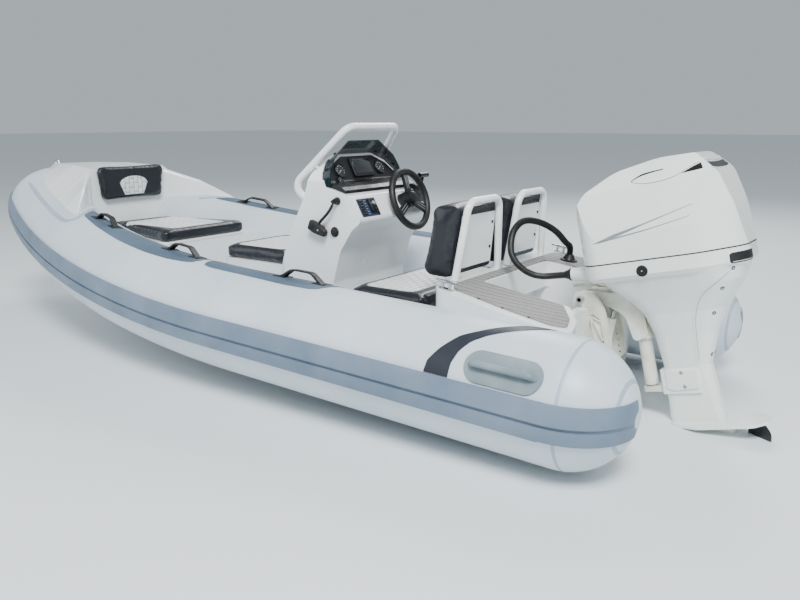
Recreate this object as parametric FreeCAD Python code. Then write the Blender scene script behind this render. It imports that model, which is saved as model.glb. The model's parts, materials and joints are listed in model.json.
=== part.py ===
import FreeCAD, Part
import math
import os

from FreeCAD import Vector

os.makedirs("parts", exist_ok=True)

# Frame: +X forward, +Y to port, +Z up, millimetres. The origin lies on the waterline and the
# centreline, where the waterline meets the outer face of the transom.

# Driving dimensions of the buoyancy tube
tubeRadius = 250.0
tubeSpread = 791.0
tubeAftX = -520.0
tubeAftZ = 270.0
tubeRise = 0.04
tubeStraight = 1897.0
bowArcRadius = 5620.0
noseHalf = 245.0
bowArcLift = 0.431
chamberSeamAngle = 12.0
domeLength = 262.0
domeTipRadius = 30.0
seat = 0.3

# Driving dimensions of the rub strake, as angles round the tube
strakeTop = 17.0
strakeGrooveTop = 0.0
strakeGrooveBottom = -3.0
strakeBottom = -15.5
strakeThickness = 14.0
strakeGrooveThickness = 5.0

# Driving dimensions of the hull, transom and floor
hullSkin = 8.0
transomRake = 6.0
transomThickness = 45.0
transomTop = 475.0
transomHalfWidth = 590.0
floorTop = 140.0
floorThickness = 12.0

# Driving dimensions of the outboard
tiltX = -16.0
tiltZ = 512.0
trimAngle = 13.0
tiltTubeRadius = 16.0
swivelX = -222.0
steerShaftRadius = 17.0
seamZ = 148.0
cowlHalfWidth = 195.0
cowlSkin = 6.0
legFootZ = -340.0
plateZ = -600.0
propZ = -745.0
propRadius = 140.0

parts = {}


def add(name, shape):
    """Keep a finished piece under its node name."""
    parts[name] = shape


def mirrored(shape):
    return shape.mirror(Vector(0, 0, 0), Vector(0, 1, 0))


def pair(shape):
    """A piece and its mirror image on the other side of the centreline, as two solids."""
    return Part.makeCompound([shape, mirrored(shape)])


def block(x0, x1, y0, y1, z0, z1):
    return Part.makeBox(x1 - x0, y1 - y0, z1 - z0, Vector(x0, y0, z0))


def rod(start, end, radius):
    start, end = Vector(start), Vector(end)
    return Part.makeCylinder(radius, (end - start).Length, start, end - start)


def fuse(*shapes):
    result = shapes[0].fuse(list(shapes[1:])) if len(shapes) > 1 else shapes[0]
    return result.removeSplitter()


def roundedLoop(points, place):
    """Closed wire through (a, b, corner radius) points, put in space by place(a, b)."""
    flat = [Vector(p[0], p[1], 0) for p in points]
    edges = []
    ends = []
    for i, point in enumerate(points):
        corner = flat[i]
        before = (flat[i - 1] - corner).normalize()
        after = (flat[(i + 1) % len(flat)] - corner).normalize()
        radius = point[2]
        if radius <= 0:
            ends.append((corner, None, corner))
            continue
        half = before.getAngle(after) / 2
        reach = radius / math.tan(half)
        middle = (before + after).normalize() * (radius / math.sin(half) - radius)
        ends.append((corner + before * reach, corner + middle, corner + after * reach))
    for i, (start, middle, end) in enumerate(ends):
        if middle is not None:
            edges.append(Part.Arc(*[place(q.x, q.y) for q in (start, middle, end)]).toShape())
        following = ends[(i + 1) % len(ends)][0]
        if (following - end).Length > 1e-6:
            edges.append(Part.makeLine(place(end.x, end.y), place(following.x, following.y)))
    return Part.Wire(edges)


def sideProfile(points, y0, y1):
    """Solid with an outline in X and Z, from y0 to y1."""
    face = Part.Face(roundedLoop(points, lambda a, b: Vector(a, y0, b)))
    return face.extrude(Vector(0, y1 - y0, 0))


def planProfile(points, z0, z1):
    """Solid with an outline in X and Y, from z0 to z1."""
    face = Part.Face(roundedLoop(points, lambda a, b: Vector(a, b, z0)))
    return face.extrude(Vector(0, 0, z1 - z0))


def frontProfile(points, x0, x1):
    """Solid with an outline in Y and Z, from x0 to x1."""
    face = Part.Face(roundedLoop(points, lambda a, b: Vector(x0, a, b)))
    return face.extrude(Vector(x1 - x0, 0, 0))


def bentPath(points, bend):
    """Straight runs joined by tangent arcs of one radius."""
    corners = [Vector(p) for p in points]
    edges = []
    last = corners[0]
    for i in range(1, len(corners) - 1):
        back = (corners[i - 1] - corners[i]).normalize()
        ahead = (corners[i + 1] - corners[i]).normalize()
        half = back.getAngle(ahead) / 2
        reach = bend / math.tan(half)
        start = corners[i] + back * reach
        end = corners[i] + ahead * reach
        middle = corners[i] + (back + ahead).normalize() * (bend / math.sin(half) - bend)
        if (start - last).Length > 1e-6:
            edges.append(Part.makeLine(last, start))
        edges.append(Part.Arc(start, middle, end).toShape())
        last = end
    edges.append(Part.makeLine(last, corners[-1]))
    return Part.Wire(edges)


def bentTube(points, radius, bend):
    path = bentPath(points, bend)
    start, towards = Vector(points[0]), Vector(points[1]) - Vector(points[0])
    ring = Part.Wire([Part.makeCircle(radius, start, towards)])
    return path.makePipeShell([ring], True, False)


# The tube's centreline on the port side: a straight run, one long arc in a plane that climbs
# inwards, and one tight arc round the nose.
along = Vector(1, 0, tubeRise).normalize()
inward = Vector(0, -1, bowArcLift)
inward = (inward - along * inward.dot(along)).normalize()
arcAxis = along.cross(inward)
aftPoint = Vector(tubeAftX, tubeSpread, tubeAftZ)
arcStart = aftPoint + along * tubeStraight
arcCentre = arcStart + inward * bowArcRadius
# The long arc ends where it has come in from the spread to the nose's own half-width.
bowArcShare = (tubeSpread - noseHalf) / (bowArcRadius * abs(inward.y))
bowArcAngle = math.degrees(math.acos(1 - bowArcShare))


def turned(vector, axis, degrees):
    return FreeCAD.Rotation(axis, degrees).multVec(vector)


def onArc(degrees):
    """Centre point and heading of the long arc at an angle from its start."""
    return (arcCentre + turned(arcStart - arcCentre, arcAxis, degrees), turned(along, arcAxis, degrees))


noseStart, noseHeading = onArc(bowArcAngle)
noseSlope = math.atan2(noseHeading.z, noseHeading.x)
noseForward = Vector(math.cos(noseSlope), 0, math.sin(noseSlope))
noseAxis = noseForward.cross(Vector(0, -1, 0))
noseTurn = math.degrees(math.atan2(-noseHeading.y, noseHeading.dot(noseForward)))
noseRadius = noseStart.y / math.cos(math.radians(noseTurn))
noseCentre = noseStart - noseForward * (noseRadius * math.sin(math.radians(noseTurn)))
noseCentre.y = 0.0

# The strake's middle lies level with the tube's centre on the straight run.
outward = Vector(0, 1, 0)
outwardAtSeam = turned(outward, arcAxis, chamberSeamAngle)
outwardAtNose = turned(outward, arcAxis, bowArcAngle)


def onTube(distance):
    """Centre point and heading at a distance along the tube from its aft tip."""
    if distance <= tubeStraight:
        return aftPoint + along * distance, along
    return onArc(math.degrees((distance - tubeStraight) / bowArcRadius))


def tubeAt(x):
    """Centre of the port tube where it passes a place along the boat."""
    low, high = 0.0, tubeStraight + bowArcRadius * math.radians(bowArcAngle)
    for halving in range(40):
        middle = (low + high) / 2
        if onTube(middle)[0].x < x:
            low = middle
        else:
            high = middle
    return onTube(low)[0]


def discAt(point, heading, radius):
    return Part.Face(Part.Wire([Part.makeCircle(radius, point, heading)]))


def domeBulge(radius, tip):
    """Radius of the arc that leads from the tube's side to the small flat tip."""
    return (domeLength ** 2 + (radius - tip) ** 2) / (2 * (radius - tip))


def sternDome(grow):
    """Solid stern end: a circular arc from the cylinder to a small flat tip, grown outwards."""
    radius, tip = tubeRadius + grow, domeTipRadius + grow
    bulge = domeBulge(radius, tip)
    centre = (domeLength, radius - bulge)
    spread = math.asin(domeLength / bulge)

    def place(distance, height):
        return aftPoint + along * distance + outward * height

    middle = (centre[0] - bulge * math.sin(spread / 2), centre[1] + bulge * math.cos(spread / 2))
    arc = Part.Arc(place(domeLength, radius), place(*middle), place(0, tip)).toShape()
    outline = [arc, Part.makeLine(place(0, tip), place(0, 0)),
               Part.makeLine(place(0, 0), place(domeLength, 0)),
               Part.makeLine(place(domeLength, 0), place(domeLength, radius))]
    return Part.Face(Part.Wire(outline)).revolve(aftPoint, along, 360)


def tubeSide(grow=0.0):
    """The port chamber as one solid, grown outwards by grow."""
    radius = tubeRadius + grow
    straight = discAt(aftPoint + along * domeLength, along, radius).extrude(
        along * (tubeStraight - domeLength))
    curve = discAt(arcStart, along, radius).revolve(arcCentre, arcAxis, chamberSeamAngle)
    return fuse(sternDome(grow), straight, curve)


def tubeNose(grow=0.0):
    """The bow chamber's runs: the end of both long arcs and the nose between them."""
    radius = tubeRadius + grow
    point, heading = onArc(chamberSeamAngle)
    curve = discAt(point, heading, radius).revolve(arcCentre, arcAxis, bowArcAngle - chamberSeamAngle)
    nose = discAt(noseStart, noseHeading, radius).revolve(noseCentre, noseAxis, 180 - 2 * noseTurn)
    return [curve, nose, mirrored(curve)]


tubePort = tubeSide()
tubeBow = fuse(*tubeNose())
# What stands beside the tube is cut to its shape with a small seat clearance.
tubeCutter = [tubeSide(seat), mirrored(tubeSide(seat))] + tubeNose(seat)
add("tube_port", tubePort)
add("tube_starboard", mirrored(tubePort))
add("tube_bow", tubeBow)


def clearOfTube(shape):
    for cutter in tubeCutter:
        shape = shape.cut(cutter)
    return shape


def strakeFace(point, heading, outwards):
    """Cross-section of the rub strake: two bands with a groove between them."""
    upwards = heading.cross(outwards)

    def at(radius, degrees):
        turn = math.radians(degrees)
        return point + outwards * (radius * math.cos(turn)) + upwards * (radius * math.sin(turn))

    def arc(radius, start, end):
        return Part.Arc(at(radius, start), at(radius, (start + end) / 2), at(radius, end)).toShape()

    inner = tubeRadius + seat
    high = tubeRadius + strakeThickness
    low = tubeRadius + strakeGrooveThickness
    edges = [arc(inner, strakeBottom, strakeTop),
             Part.makeLine(at(inner, strakeTop), at(high, strakeTop)),
             arc(high, strakeTop, strakeGrooveTop),
             Part.makeLine(at(high, strakeGrooveTop), at(low, strakeGrooveTop)),
             arc(low, strakeGrooveTop, strakeGrooveBottom),
             Part.makeLine(at(low, strakeGrooveBottom), at(high, strakeGrooveBottom)),
             arc(high, strakeGrooveBottom, strakeBottom),
             Part.makeLine(at(high, strakeBottom), at(inner, strakeBottom))]
    return Part.Face(Part.Wire(edges))


def sternStrake():
    """The strake round the stern dome: two flat bands that hug it and end at its tip."""
    upwards = along.cross(outward)
    bands = []
    levels = ((strakeThickness, strakeGrooveTop, strakeTop),
              (strakeGrooveThickness, strakeGrooveBottom, strakeGrooveTop),
              (strakeThickness, strakeBottom, strakeGrooveBottom))
    for thickness, low, high in levels:
        bottom = tubeRadius * math.sin(math.radians(low))
        top = tubeRadius * math.sin(math.radians(high))
        slab = Part.makeBox(domeLength, 2 * tubeRadius, top - bottom)
        slab.Placement = FreeCAD.Placement(aftPoint + upwards * bottom,
                                           FreeCAD.Rotation(along, outward, upwards, "XYZ"))
        bands.append(slab.common(sternDome(thickness)).cut(sternDome(seat)))
    return fuse(*bands)


def strakeSide():
    straight = strakeFace(aftPoint + along * domeLength, along, outward).extrude(
        along * (tubeStraight - domeLength))
    curve = strakeFace(arcStart, along, outward).revolve(arcCentre, arcAxis, chamberSeamAngle)
    return fuse(sternStrake(), straight, curve)


def strakeNose():
    point, heading = onArc(chamberSeamAngle)
    curve = strakeFace(point, heading, outwardAtSeam).revolve(
        arcCentre, arcAxis, bowArcAngle - chamberSeamAngle)
    nose = strakeFace(noseStart, noseHeading, outwardAtNose).revolve(
        noseCentre, noseAxis, 180 - 2 * noseTurn)
    mirroredEnd = mirrored(curve)
    return fuse(curve, nose, mirroredEnd)


strakePort = strakeSide()
add("strake_port", strakePort)
add("strake_starboard", mirrored(strakePort))
add("strake_bow", strakeNose())

# Hull sections from the transom to the stem: half sections of a deep V. The chine keeps one
# distance inboard of the tube's centre, and the edge lies a little outboard of the chine.
chineInset = tubeSpread - transomHalfWidth + 5
# Columns: x, keel z, chine z, edge z, edge outboard of the chine
hullStations = (
    (0, -190, 35, 130, 15),
    (1450, -185, 70, 190, 15),
    (2450, -120, 140, 280, 20),
    (3050, -10, 240, 380, 30),
    (3550, 190, 375, 480, 30),
    (3860, 400, 470, 530, 30),
)


def rakedX(z):
    return -z * math.tan(math.radians(transomRake))


def hullForm(inset, top):
    """Solid hull form, inset from the outer skin and carried straight up to a height."""
    wires = []
    for x, keel, chineZ, edgeZ, flare in hullStations:
        chineY = tubeAt(x).y - chineInset
        edgeY = chineY + flare
        half = [(0, keel + inset * 1.1), (chineY - inset, chineZ + inset * 0.6),
                (edgeY - inset, edgeZ), (edgeY - inset, max(top, edgeZ))]
        half = half[:3] if half[3][1] - half[2][1] < 1 else half
        loop = half + [(-y, z) for y, z in reversed(half) if y > 0]
        corners = [Vector(x + (rakedX(z) if x == 0 else 0), y, z) for y, z in loop]
        wires.append(Part.makePolygon(corners + corners[:1]))
    return Part.makeLoft(wires, True, True)


hullTopClear = 620.0
hullOuter = hullForm(0, 0)
hullInner = hullForm(hullSkin, hullTopClear)
hull = clearOfTube(hullOuter.cut(hullInner))
add("hull", hull)

insideHull = hullForm(hullSkin + seat, hullTopClear)

# Transom board: as wide as the space between the tubes, raked, seated in the hull's aft end
boardCorner = 40.0
boardLoop = [(-transomHalfWidth, -190, 0), (transomHalfWidth, -190, 0),
             (transomHalfWidth, transomTop, boardCorner), (-transomHalfWidth, transomTop, boardCorner)]
boardWire = roundedLoop(boardLoop, lambda a, b: Vector(rakedX(b), a, b))
board = Part.Face(boardWire).extrude(Vector(transomThickness, 0, 0))
add("transom", clearOfTube(board.common(insideHull)))

# Cockpit floor, resting in the hull skin
floorEnd = 2540.0
floorStart = transomThickness + seat
floorSlab = block(floorStart, floorEnd, -tubeSpread, tubeSpread, floorTop - floorThickness, floorTop)
add("cockpit_floor", clearOfTube(floorSlab.common(insideHull)))

# Bow locker: a moulded box between the tubes with its own floor
lockerAft = floorEnd + seat
lockerFront = 3235.0
lockerWall = 12.0
lockerTop = 560.0
lockerFloor = 400.0
lockerAftHalf = tubeAt(lockerAft).y - 208
lockerFrontHalf = tubeAt(lockerFront).y - 248


def lockerPlan(inset):
    return [(lockerAft + inset, lockerAftHalf - inset, 0), (lockerFront - inset, lockerFrontHalf - inset, 0),
            (lockerFront - inset, inset - lockerFrontHalf, 0), (lockerAft + inset, inset - lockerAftHalf, 0)]


locker = planProfile(lockerPlan(0), floorTop - floorThickness, lockerTop)
locker = clearOfTube(locker.common(insideHull))
lockerHole = 90.0
locker = locker.cut(planProfile(lockerPlan(lockerHole), lockerFloor, lockerTop + 1))
lockerVoid = planProfile(lockerPlan(lockerWall), floorTop - floorThickness - 1, lockerFloor - lockerWall)
locker = locker.cut(lockerVoid.common(hullForm(hullSkin + lockerWall, hullTopClear)))
add("bow_locker", locker)

# Bow locker lid and cushion, hinged at the forward edge
lidGap = 0.5
lidThickness = 12.0
cushionThickness = 66.0
bowLidAft = 2532.0
bowLidFront = 3195.0
bowLidAftHalf = lockerAftHalf - 125
bowLidFrontHalf = lockerFrontHalf - 45
bowLidCorner = 40.0


def bowSeatPlan(inset):
    return [(bowLidAft + inset, bowLidAftHalf - inset, bowLidCorner),
            (bowLidFront - inset, bowLidFrontHalf - inset, bowLidCorner),
            (bowLidFront - inset, inset - bowLidFrontHalf, bowLidCorner),
            (bowLidAft + inset, inset - bowLidAftHalf, bowLidCorner)]


bowLidBottom = lockerTop + lidGap
bowCushionBottom = bowLidBottom + lidThickness
add("bow_lid", planProfile(bowSeatPlan(4), bowLidBottom, bowCushionBottom))
add("bow_cushion", planProfile(bowSeatPlan(0), bowCushionBottom, bowCushionBottom + cushionThickness))

# Bow pod: a moulding that rides on the tubes and narrows to the nose. Its foot lies just inside
# the tube's skin, at one place beside and above the tube's centre, and the tube is cut out of it.
podFootOut = 98.0
podFootUp = 216.0
podWallDepth = 150.0
podEdge = 22.0
# Columns: x, top z, top half-width as a share of the tube's own
podStations = (
    (3300, 985, 0.60),
    (3589, 1000, 0.60),
    (3862, 998, 0.54),
)
# Columns: x, top half-width, top z, foot half-width, foot z
podNose = (
    (4060, 66, 990, 150, 925),
    (4190, 38, 945, 90, 895),
)


def podSection(x, topY, topZ, footY, footZ):
    half = [(topY, topZ, podEdge), (footY, footZ, 0), (footY, footZ - podWallDepth, 0)]
    return roundedLoop(half + [(-y, z, r) for y, z, r in reversed(half)], lambda a, b: Vector(x, a, b))


def podForm():
    wires = []
    for x, topZ, share in podStations:
        centre = tubeAt(x)
        wires.append(podSection(x, centre.y * share, topZ, centre.y + podFootOut, centre.z + podFootUp))
    wires.extend(podSection(*row) for row in podNose)
    return Part.makeLoft(wires, True, True)


# The pod's wings run aft along the tubes and fade out: ridge and inner foot, from the tube's centre.
# Columns: x, ridge outwards, ridge upwards, inner foot outwards, inner foot upwards, ridge radius
wingStations = (
    (3310, -194, 424, -180, 160, 22),
    (3130, -77, 365, -107, 212, 16),
    (2965, 47, 257, 22, 234, 3),
)


def podWing():
    wires = []
    for x, ridgeOut, ridgeUp, innerOut, innerUp, radius in wingStations:
        centre = tubeAt(x)
        loop = [(centre.y + podFootOut, centre.z + podFootUp, 0),
                (centre.y + ridgeOut, centre.z + ridgeUp, radius),
                (centre.y + innerOut, centre.z + innerUp, 0)]
        wires.append(roundedLoop(loop, lambda a, b: Vector(x, a, b)))
    return Part.makeLoft(wires, True, True)


podFloor = lockerTop + 20
podClear = block(podStations[0][0], 2 * podNose[-1][0], -tubeSpread, tubeSpread, podFloor, 2 * podNose[0][2])
podBody = podForm().common(podClear)
pod = clearOfTube(fuse(podBody, podWing(), mirrored(podWing())))
pod = max(pod.Solids, key=lambda solid: solid.BoundBox.ZMax * solid.Volume)
add("bow_pod", pod)

# Bow backrest pad on the pod's aft face, a little narrower at the bottom
backrestHalf = 266.0
backrestTaper = 30.0
backrestBottom = 775.0
backrestTop = 1000.0
backrestDepth = 50.0
backrestCorner = 45.0
padSeat = 0.5
backrestLoop = [(backrestTaper - backrestHalf, backrestBottom, backrestCorner),
                (backrestHalf - backrestTaper, backrestBottom, backrestCorner),
                (backrestHalf, backrestTop, backrestCorner), (-backrestHalf, backrestTop, backrestCorner)]
podFace = podStations[0][0]
add("bow_backrest", frontProfile(backrestLoop, podFace - padSeat - backrestDepth, podFace - padSeat))


def cleat(x, y, z, length):
    """Horn cleat with its bar along X: a base plate, two posts and a tapered bar."""
    post = length * 0.28
    height = length * 0.3
    base = block(x - post, x + post, y - length * 0.12, y + length * 0.12, z, z + 5)
    posts = [rod((x + side * post * 0.6, y, z), (x + side * post * 0.6, y, z + height), length * 0.06)
             for side in (-1, 1)]
    horns = [Part.makeCone(length * 0.075, length * 0.035, length / 2, Vector(x, y, z + height),
                           Vector(side, 0, 0)) for side in (-1, 1)]
    return fuse(base, *posts, *horns)


bowCleatX = 4120.0
bowCleatSlope = (podNose[1][2] - podNose[0][2]) / (podNose[1][0] - podNose[0][0])
bowCleatZ = podNose[0][2] + bowCleatSlope * (bowCleatX - podNose[0][0])
bowCleat = cleat(bowCleatX, 0, 0, 120)
bowCleat.rotate(Vector(bowCleatX, 0, 0), Vector(0, 1, 0), -math.degrees(math.atan(bowCleatSlope)))
bowCleat.translate(Vector(0, 0, bowCleatZ + seat))
add("bow_cleat", bowCleat)

# Console: side profile with a raked front, a head that carries the windscreen, a dash that
# overhangs aft and a knee recess
consoleHalf = 318.0
consoleSkin = 10.0
consoleFoot = floorTop + seat
consoleAftX = 1057.0
consoleFrontX = 1615.0
headTop = 1122.0
headTopHalf = 130.0
consoleLoop = [(consoleFrontX - 15, consoleFoot, 0), (consoleFrontX, 514, 60), (1518, 739, 400),
               (1420, 928, 200), (1366, headTop, 10), (1342, headTop - 4, 8), (1313, 1046, 0),
               (1284, 964, 12), (1233, 952, 15), (1131, 923, 12), (consoleAftX, 804, 25),
               (1120, 752, 60), (1195, 640, 120), (1244, 474, 80), (1250, consoleFoot, 0)]
consoleEdge = 70.0


def consolePlan(inset):
    fore, half, edge = consoleFrontX + 25 - 1.2 * inset, consoleHalf - inset, consoleEdge - inset
    aft = consoleAftX - 60
    return [(aft, -half, 0), (fore, -half, edge), (fore, half, edge), (aft, half, 0)]


def headArch(inset, spread, rise, bottom):
    """Outline of the console's head from the front: upright sides and a chamfered crown.
    spread and rise carry its shoulders out and up, inset brings it in all round."""
    half = [(consoleHalf - spread - inset, bottom, 0), (consoleHalf - spread - inset, 992 + rise * 0.3, 20),
            (consoleHalf - 18 - inset, 1024 + rise * 0.3 - inset, 15),
            (240 + spread * 4 - inset * 0.6, 1077 + rise * 0.4 - inset, 30),
            (headTopHalf + spread - inset * 0.4, headTop + 2 + rise - inset, 30)]
    return half + [(-y, z, r) for y, z, r in reversed(half)]


consoleSolid = sideProfile(consoleLoop, -consoleHalf, consoleHalf)
consoleOuter = consoleSolid.common(planProfile(consolePlan(0), floorTop, headTop + 80)).common(
    frontProfile(headArch(0, 0, 0, floorTop), consoleAftX - 60, consoleFrontX + 60))
innerLoop = [(1585, floorTop - 1, 0), (1600, 512, 50), (1504, 733, 390), (1408, 914, 190),
             (1300, 946, 10), (1236, 938, 12), (1143, 914, 8), (1075, 806, 15), (1130, 762, 50),
             (1208, 644, 110), (1256, 474, 90), (1262, floorTop - 1, 0)]
innerHalf = consoleHalf - consoleSkin
consoleVoid = sideProfile(innerLoop, -innerHalf, innerHalf).common(
    planProfile(consolePlan(consoleSkin), floorTop - 1, headTop))
add("console", consoleOuter.cut(consoleVoid))


def clearOfConsole(shape):
    """Largest piece of a shape left outside the console."""
    rest = shape.cut(consoleOuter)
    return max(rest.Solids, key=lambda solid: solid.Volume)


# Instrument panel: a black shelf on the dash and a face up the inner side of the console's head
panelInset = 14.0
panelLoop = [(1165, 937, 0), (1240, 956, 0), (1290, 960, 0), (1321, 1046, 0), (1350, headTop - 16, 0),
             (1330, headTop - 14, 6), (1300, 1046, 20), (1268, 985, 20), (1190, 966, 12), (1165, 950, 4)]
panelArch = frontProfile(headArch(panelInset, 0, 0, 900), consoleAftX, consoleFrontX)
panel = sideProfile([(x - seat, z + seat, r) for x, z, r in panelLoop], -consoleHalf, consoleHalf)
add("instrument_panel", clearOfConsole(panel.common(panelArch)))

# Windscreen: a smoked arch that rises aft from the console's head, with a cheek on each side
screenSkin = 5.0
screenForeX = 1362.0
screenAftX = 1240.0
screenRise = 100.0
screenSpread = 6.0
screenRegion = [(1366, headTop + 10, 0), (1320, 1046, 0), (1290, 957, 0), (1249, 969, 8), (1262, 1036, 0),
                (1280, headTop + 60, 0), (1280, headTop + 120, 0), (1366, headTop + 120, 0)]


def screenForm(inset, bottom):
    ends = [roundedLoop(headArch(inset, spread, rise, bottom), lambda a, b: Vector(x, a, b))
            for x, spread, rise in ((screenForeX, 0.0, 0.0), (screenAftX, screenSpread, screenRise))]
    return Part.makeLoft(ends, True, True)


screenBottom = 900.0
screenShell = screenForm(0, screenBottom).cut(screenForm(screenSkin, screenBottom - 1))
screen = screenShell.common(sideProfile(screenRegion, -400, 400))
add("windscreen", clearOfConsole(screen))

# Grab rail: one bent tube from the console's front, up and aft over the screen, with two stays
railRadius = 19.0
railBend = 60.0
railHalf = 330.0
railFootHalf = 285.0
railTopHalf = 215.0
railTopX = 1215.0
railTopZ = 1262.0
railRoute = [(1400, railFootHalf, 868), (1496, railHalf, 956), (railTopX, railTopHalf, railTopZ),
             (railTopX, -railTopHalf, railTopZ), (1496, -railHalf, 956), (1400, -railFootHalf, 868)]
stayRadius = 8.0
stays = [rod((1384, side * 284, 1078), (1352, side * 258, 1020), stayRadius) for side in (-1, 1)]
add("console_rail", clearOfConsole(fuse(bentTube(railRoute, railRadius, railBend), *stays)))

# Helm: hub on the dash, wheel on its axis
wheelCentre = Vector(1050, -100, 885)
wheelLean = 18.0
wheelRadius = 152.0
rimRadius = 18.0
helmAxis = Vector(-math.cos(math.radians(wheelLean)), 0, math.sin(math.radians(wheelLean)))
bossDepth = 25.0
hubClear = 0.4
hubReach = 120.0
hubFace = wheelCentre - helmAxis * (bossDepth + hubClear)
helmHub = rod(hubFace - helmAxis * hubReach, hubFace, 42)
add("helm_hub", clearOfConsole(helmHub))

helmFrame = FreeCAD.Placement(wheelCentre, FreeCAD.Rotation(Vector(0, 0, 1), helmAxis))
spokeAngles = (0, 120, 240)
spokeHalf = 20.0
spokeDepth = 7.0
bossRadius = 44.0
rim = Part.makeTorus(wheelRadius, rimRadius)
boss = Part.makeCylinder(bossRadius, bossDepth + 22, Vector(0, 0, -bossDepth))
wheelSpokes = []
for angle in spokeAngles:
    spoke = block(20, wheelRadius, -spokeHalf, spokeHalf, -spokeDepth, spokeDepth)
    spoke.rotate(Vector(0, 0, 0), Vector(0, 0, 1), angle)
    wheelSpokes.append(spoke)
steeringWheel = fuse(rim, boss, *wheelSpokes)
steeringWheel.Placement = helmFrame
add("steering_wheel", steeringWheel)

# Remote throttle on the console's starboard side of the dash
throttleY = -278.0
throttleBase = sideProfile([(1092, 840, 8), (1082, 900, 8), (1120, 950, 8), (1150, 950, 8), (1150, 900, 0)],
                           throttleY - 30, throttleY + 30)
gripX = 1084.0
gripZ = 1000.0
gripHalf = 38.0
lever = rod((1112, throttleY, 905), (gripX, throttleY, gripZ), 9)
grip = rod((gripX, throttleY - gripHalf, gripZ), (gripX, throttleY + gripHalf, gripZ), 14)
add("throttle", clearOfConsole(fuse(throttleBase, lever, grip)))

# Front console seat: base box, hinged lid with a cushion, and a pad on the console's front
frontSeatAft = 1625.0
frontSeatFront = 2115.0
frontSeatHalf = 270.0
seatWall = 12.0
seatBoxTop = 508.0


def seatBox(x0, x1, half, top, wall):
    outer = planProfile([(x0, half, 0), (x1, half, 50), (x1, -half, 50), (x0, -half, 0)],
                        floorTop + seat, top)
    inner = planProfile([(x0 + wall, half - wall, 0), (x1 - wall, half - wall, 40),
                         (x1 - wall, wall - half, 40), (x0 + wall, wall - half, 0)],
                        floorTop + seat + wall, top + 1)
    return outer.cut(inner)


add("front_seat_base", seatBox(frontSeatAft, frontSeatFront, frontSeatHalf, seatBoxTop, seatWall))
frontLidBottom = seatBoxTop + lidGap
frontPlan = [(frontSeatAft, frontSeatHalf, 20), (frontSeatFront, frontSeatHalf, 60),
             (frontSeatFront, -frontSeatHalf, 60), (frontSeatAft, -frontSeatHalf, 20)]
frontCushionTop = 590.0
add("front_seat_lid", planProfile(frontPlan, frontLidBottom, frontLidBottom + lidThickness))
add("front_seat_cushion", planProfile(frontPlan, frontLidBottom + lidThickness, frontCushionTop))

frontPadHalf = 250.0
frontPad = sideProfile([(1500, 620, 0), (1622, 620, 15), (1482, 900, 20), (1400, 870, 0)],
                       -frontPadHalf, frontPadHalf)
consoleProud = consoleSolid.copy()
consoleProud.translate(Vector(seat, 0, seat))
frontPad = frontPad.cut(consoleProud)
add("front_seat_pad", max(frontPad.Solids, key=lambda solid: solid.CenterOfMass.x))

# Helm bench: base box, hinged lid with a cushion
benchAft = 590.0
benchFront = 1050.0
benchHalf = 450.0
benchBoxTop = 405.0
benchCushionTop = 500.0
add("bench_base", seatBox(benchAft, benchFront, benchHalf, benchBoxTop, seatWall))
benchLidBottom = benchBoxTop + lidGap
benchPlan = [(benchAft + 20, benchHalf, 20), (benchFront, benchHalf, 50),
             (benchFront, -benchHalf, 50), (benchAft + 20, -benchHalf, 20)]
add("bench_lid", planProfile(benchPlan, benchLidBottom, benchLidBottom + lidThickness))
add("bench_cushion", planProfile(benchPlan, benchLidBottom + lidThickness, benchCushionTop))

# Aft deck: sloping wings on both sides of the engine well, a bulkhead and the well's tray
deckBridgeX = 350.0
deckFrontZ = 600.0
deckAftX = -200.0
deckAftZ = 505.0
wellHalf = 335.0
wellFloor = 340.0
wellWall = 10.0
bulkheadX = 430.0
bulkheadDepth = 30.0
deckFrontX = bulkheadX + bulkheadDepth
slopeRise = (deckFrontZ - deckAftZ) / (deckFrontX - deckAftX)
deckSlope = math.degrees(math.atan(slopeRise))


def deckHeight(x):
    return deckAftZ + (x - deckAftX) * slopeRise


def deckBand(low, high):
    """Slab between two heights above the sloping deck."""
    aft, fore = deckAftX - 200, deckFrontX + 240
    loop = [(aft, deckHeight(aft) + low, 0), (fore, deckHeight(fore) + low, 0),
            (fore, deckHeight(fore) + high, 0), (aft, deckHeight(aft) + high, 0)]
    return sideProfile(loop, -tubeSpread, tubeSpread)


def wingOutline(points):
    """Deck plan: y is measured from the centreline beside the well, and from the tube elsewhere."""
    return [(x, y if beside == "well" else tubeSpread - y, r) for x, y, r, beside in points]


deckThickness = 130.0
wingPlan = [(deckFrontX, 0, 0, "well"), (deckFrontX, 231, 60, "tube"), (430, 166, 80, "tube"),
            (120, 121, 600, "tube"), (-120, 101, 60, "tube"), (-200, 151, 40, "tube"),
            (-160, 291, 20, "tube"), (-60, wellHalf, 40, "well"), (deckBridgeX, wellHalf, 25, "well"),
            (deckBridgeX, 0, 0, "well")]
deckWing = planProfile(wingOutline(wingPlan), 300, 800).common(deckBand(-deckThickness, 0))
bulkheadHalf = tubeSpread - 231
bulkheadTop = deckHeight(bulkheadX) - 60
bulkhead = block(bulkheadX, deckFrontX, -bulkheadHalf, bulkheadHalf, floorTop + seat, bulkheadTop)
trayStart = transomThickness + 2
trayBottom = wellFloor - wellWall
wellTray = block(trayStart, bulkheadX, -wellHalf, wellHalf, trayBottom, wellFloor)
wellSides = block(trayStart, bulkheadX, wellHalf, wellHalf + wellWall, trayBottom, deckHeight(0) - 50)
deckHalf = fuse(deckWing, wellSides)
boardHalf = transomHalfWidth + 5
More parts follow.
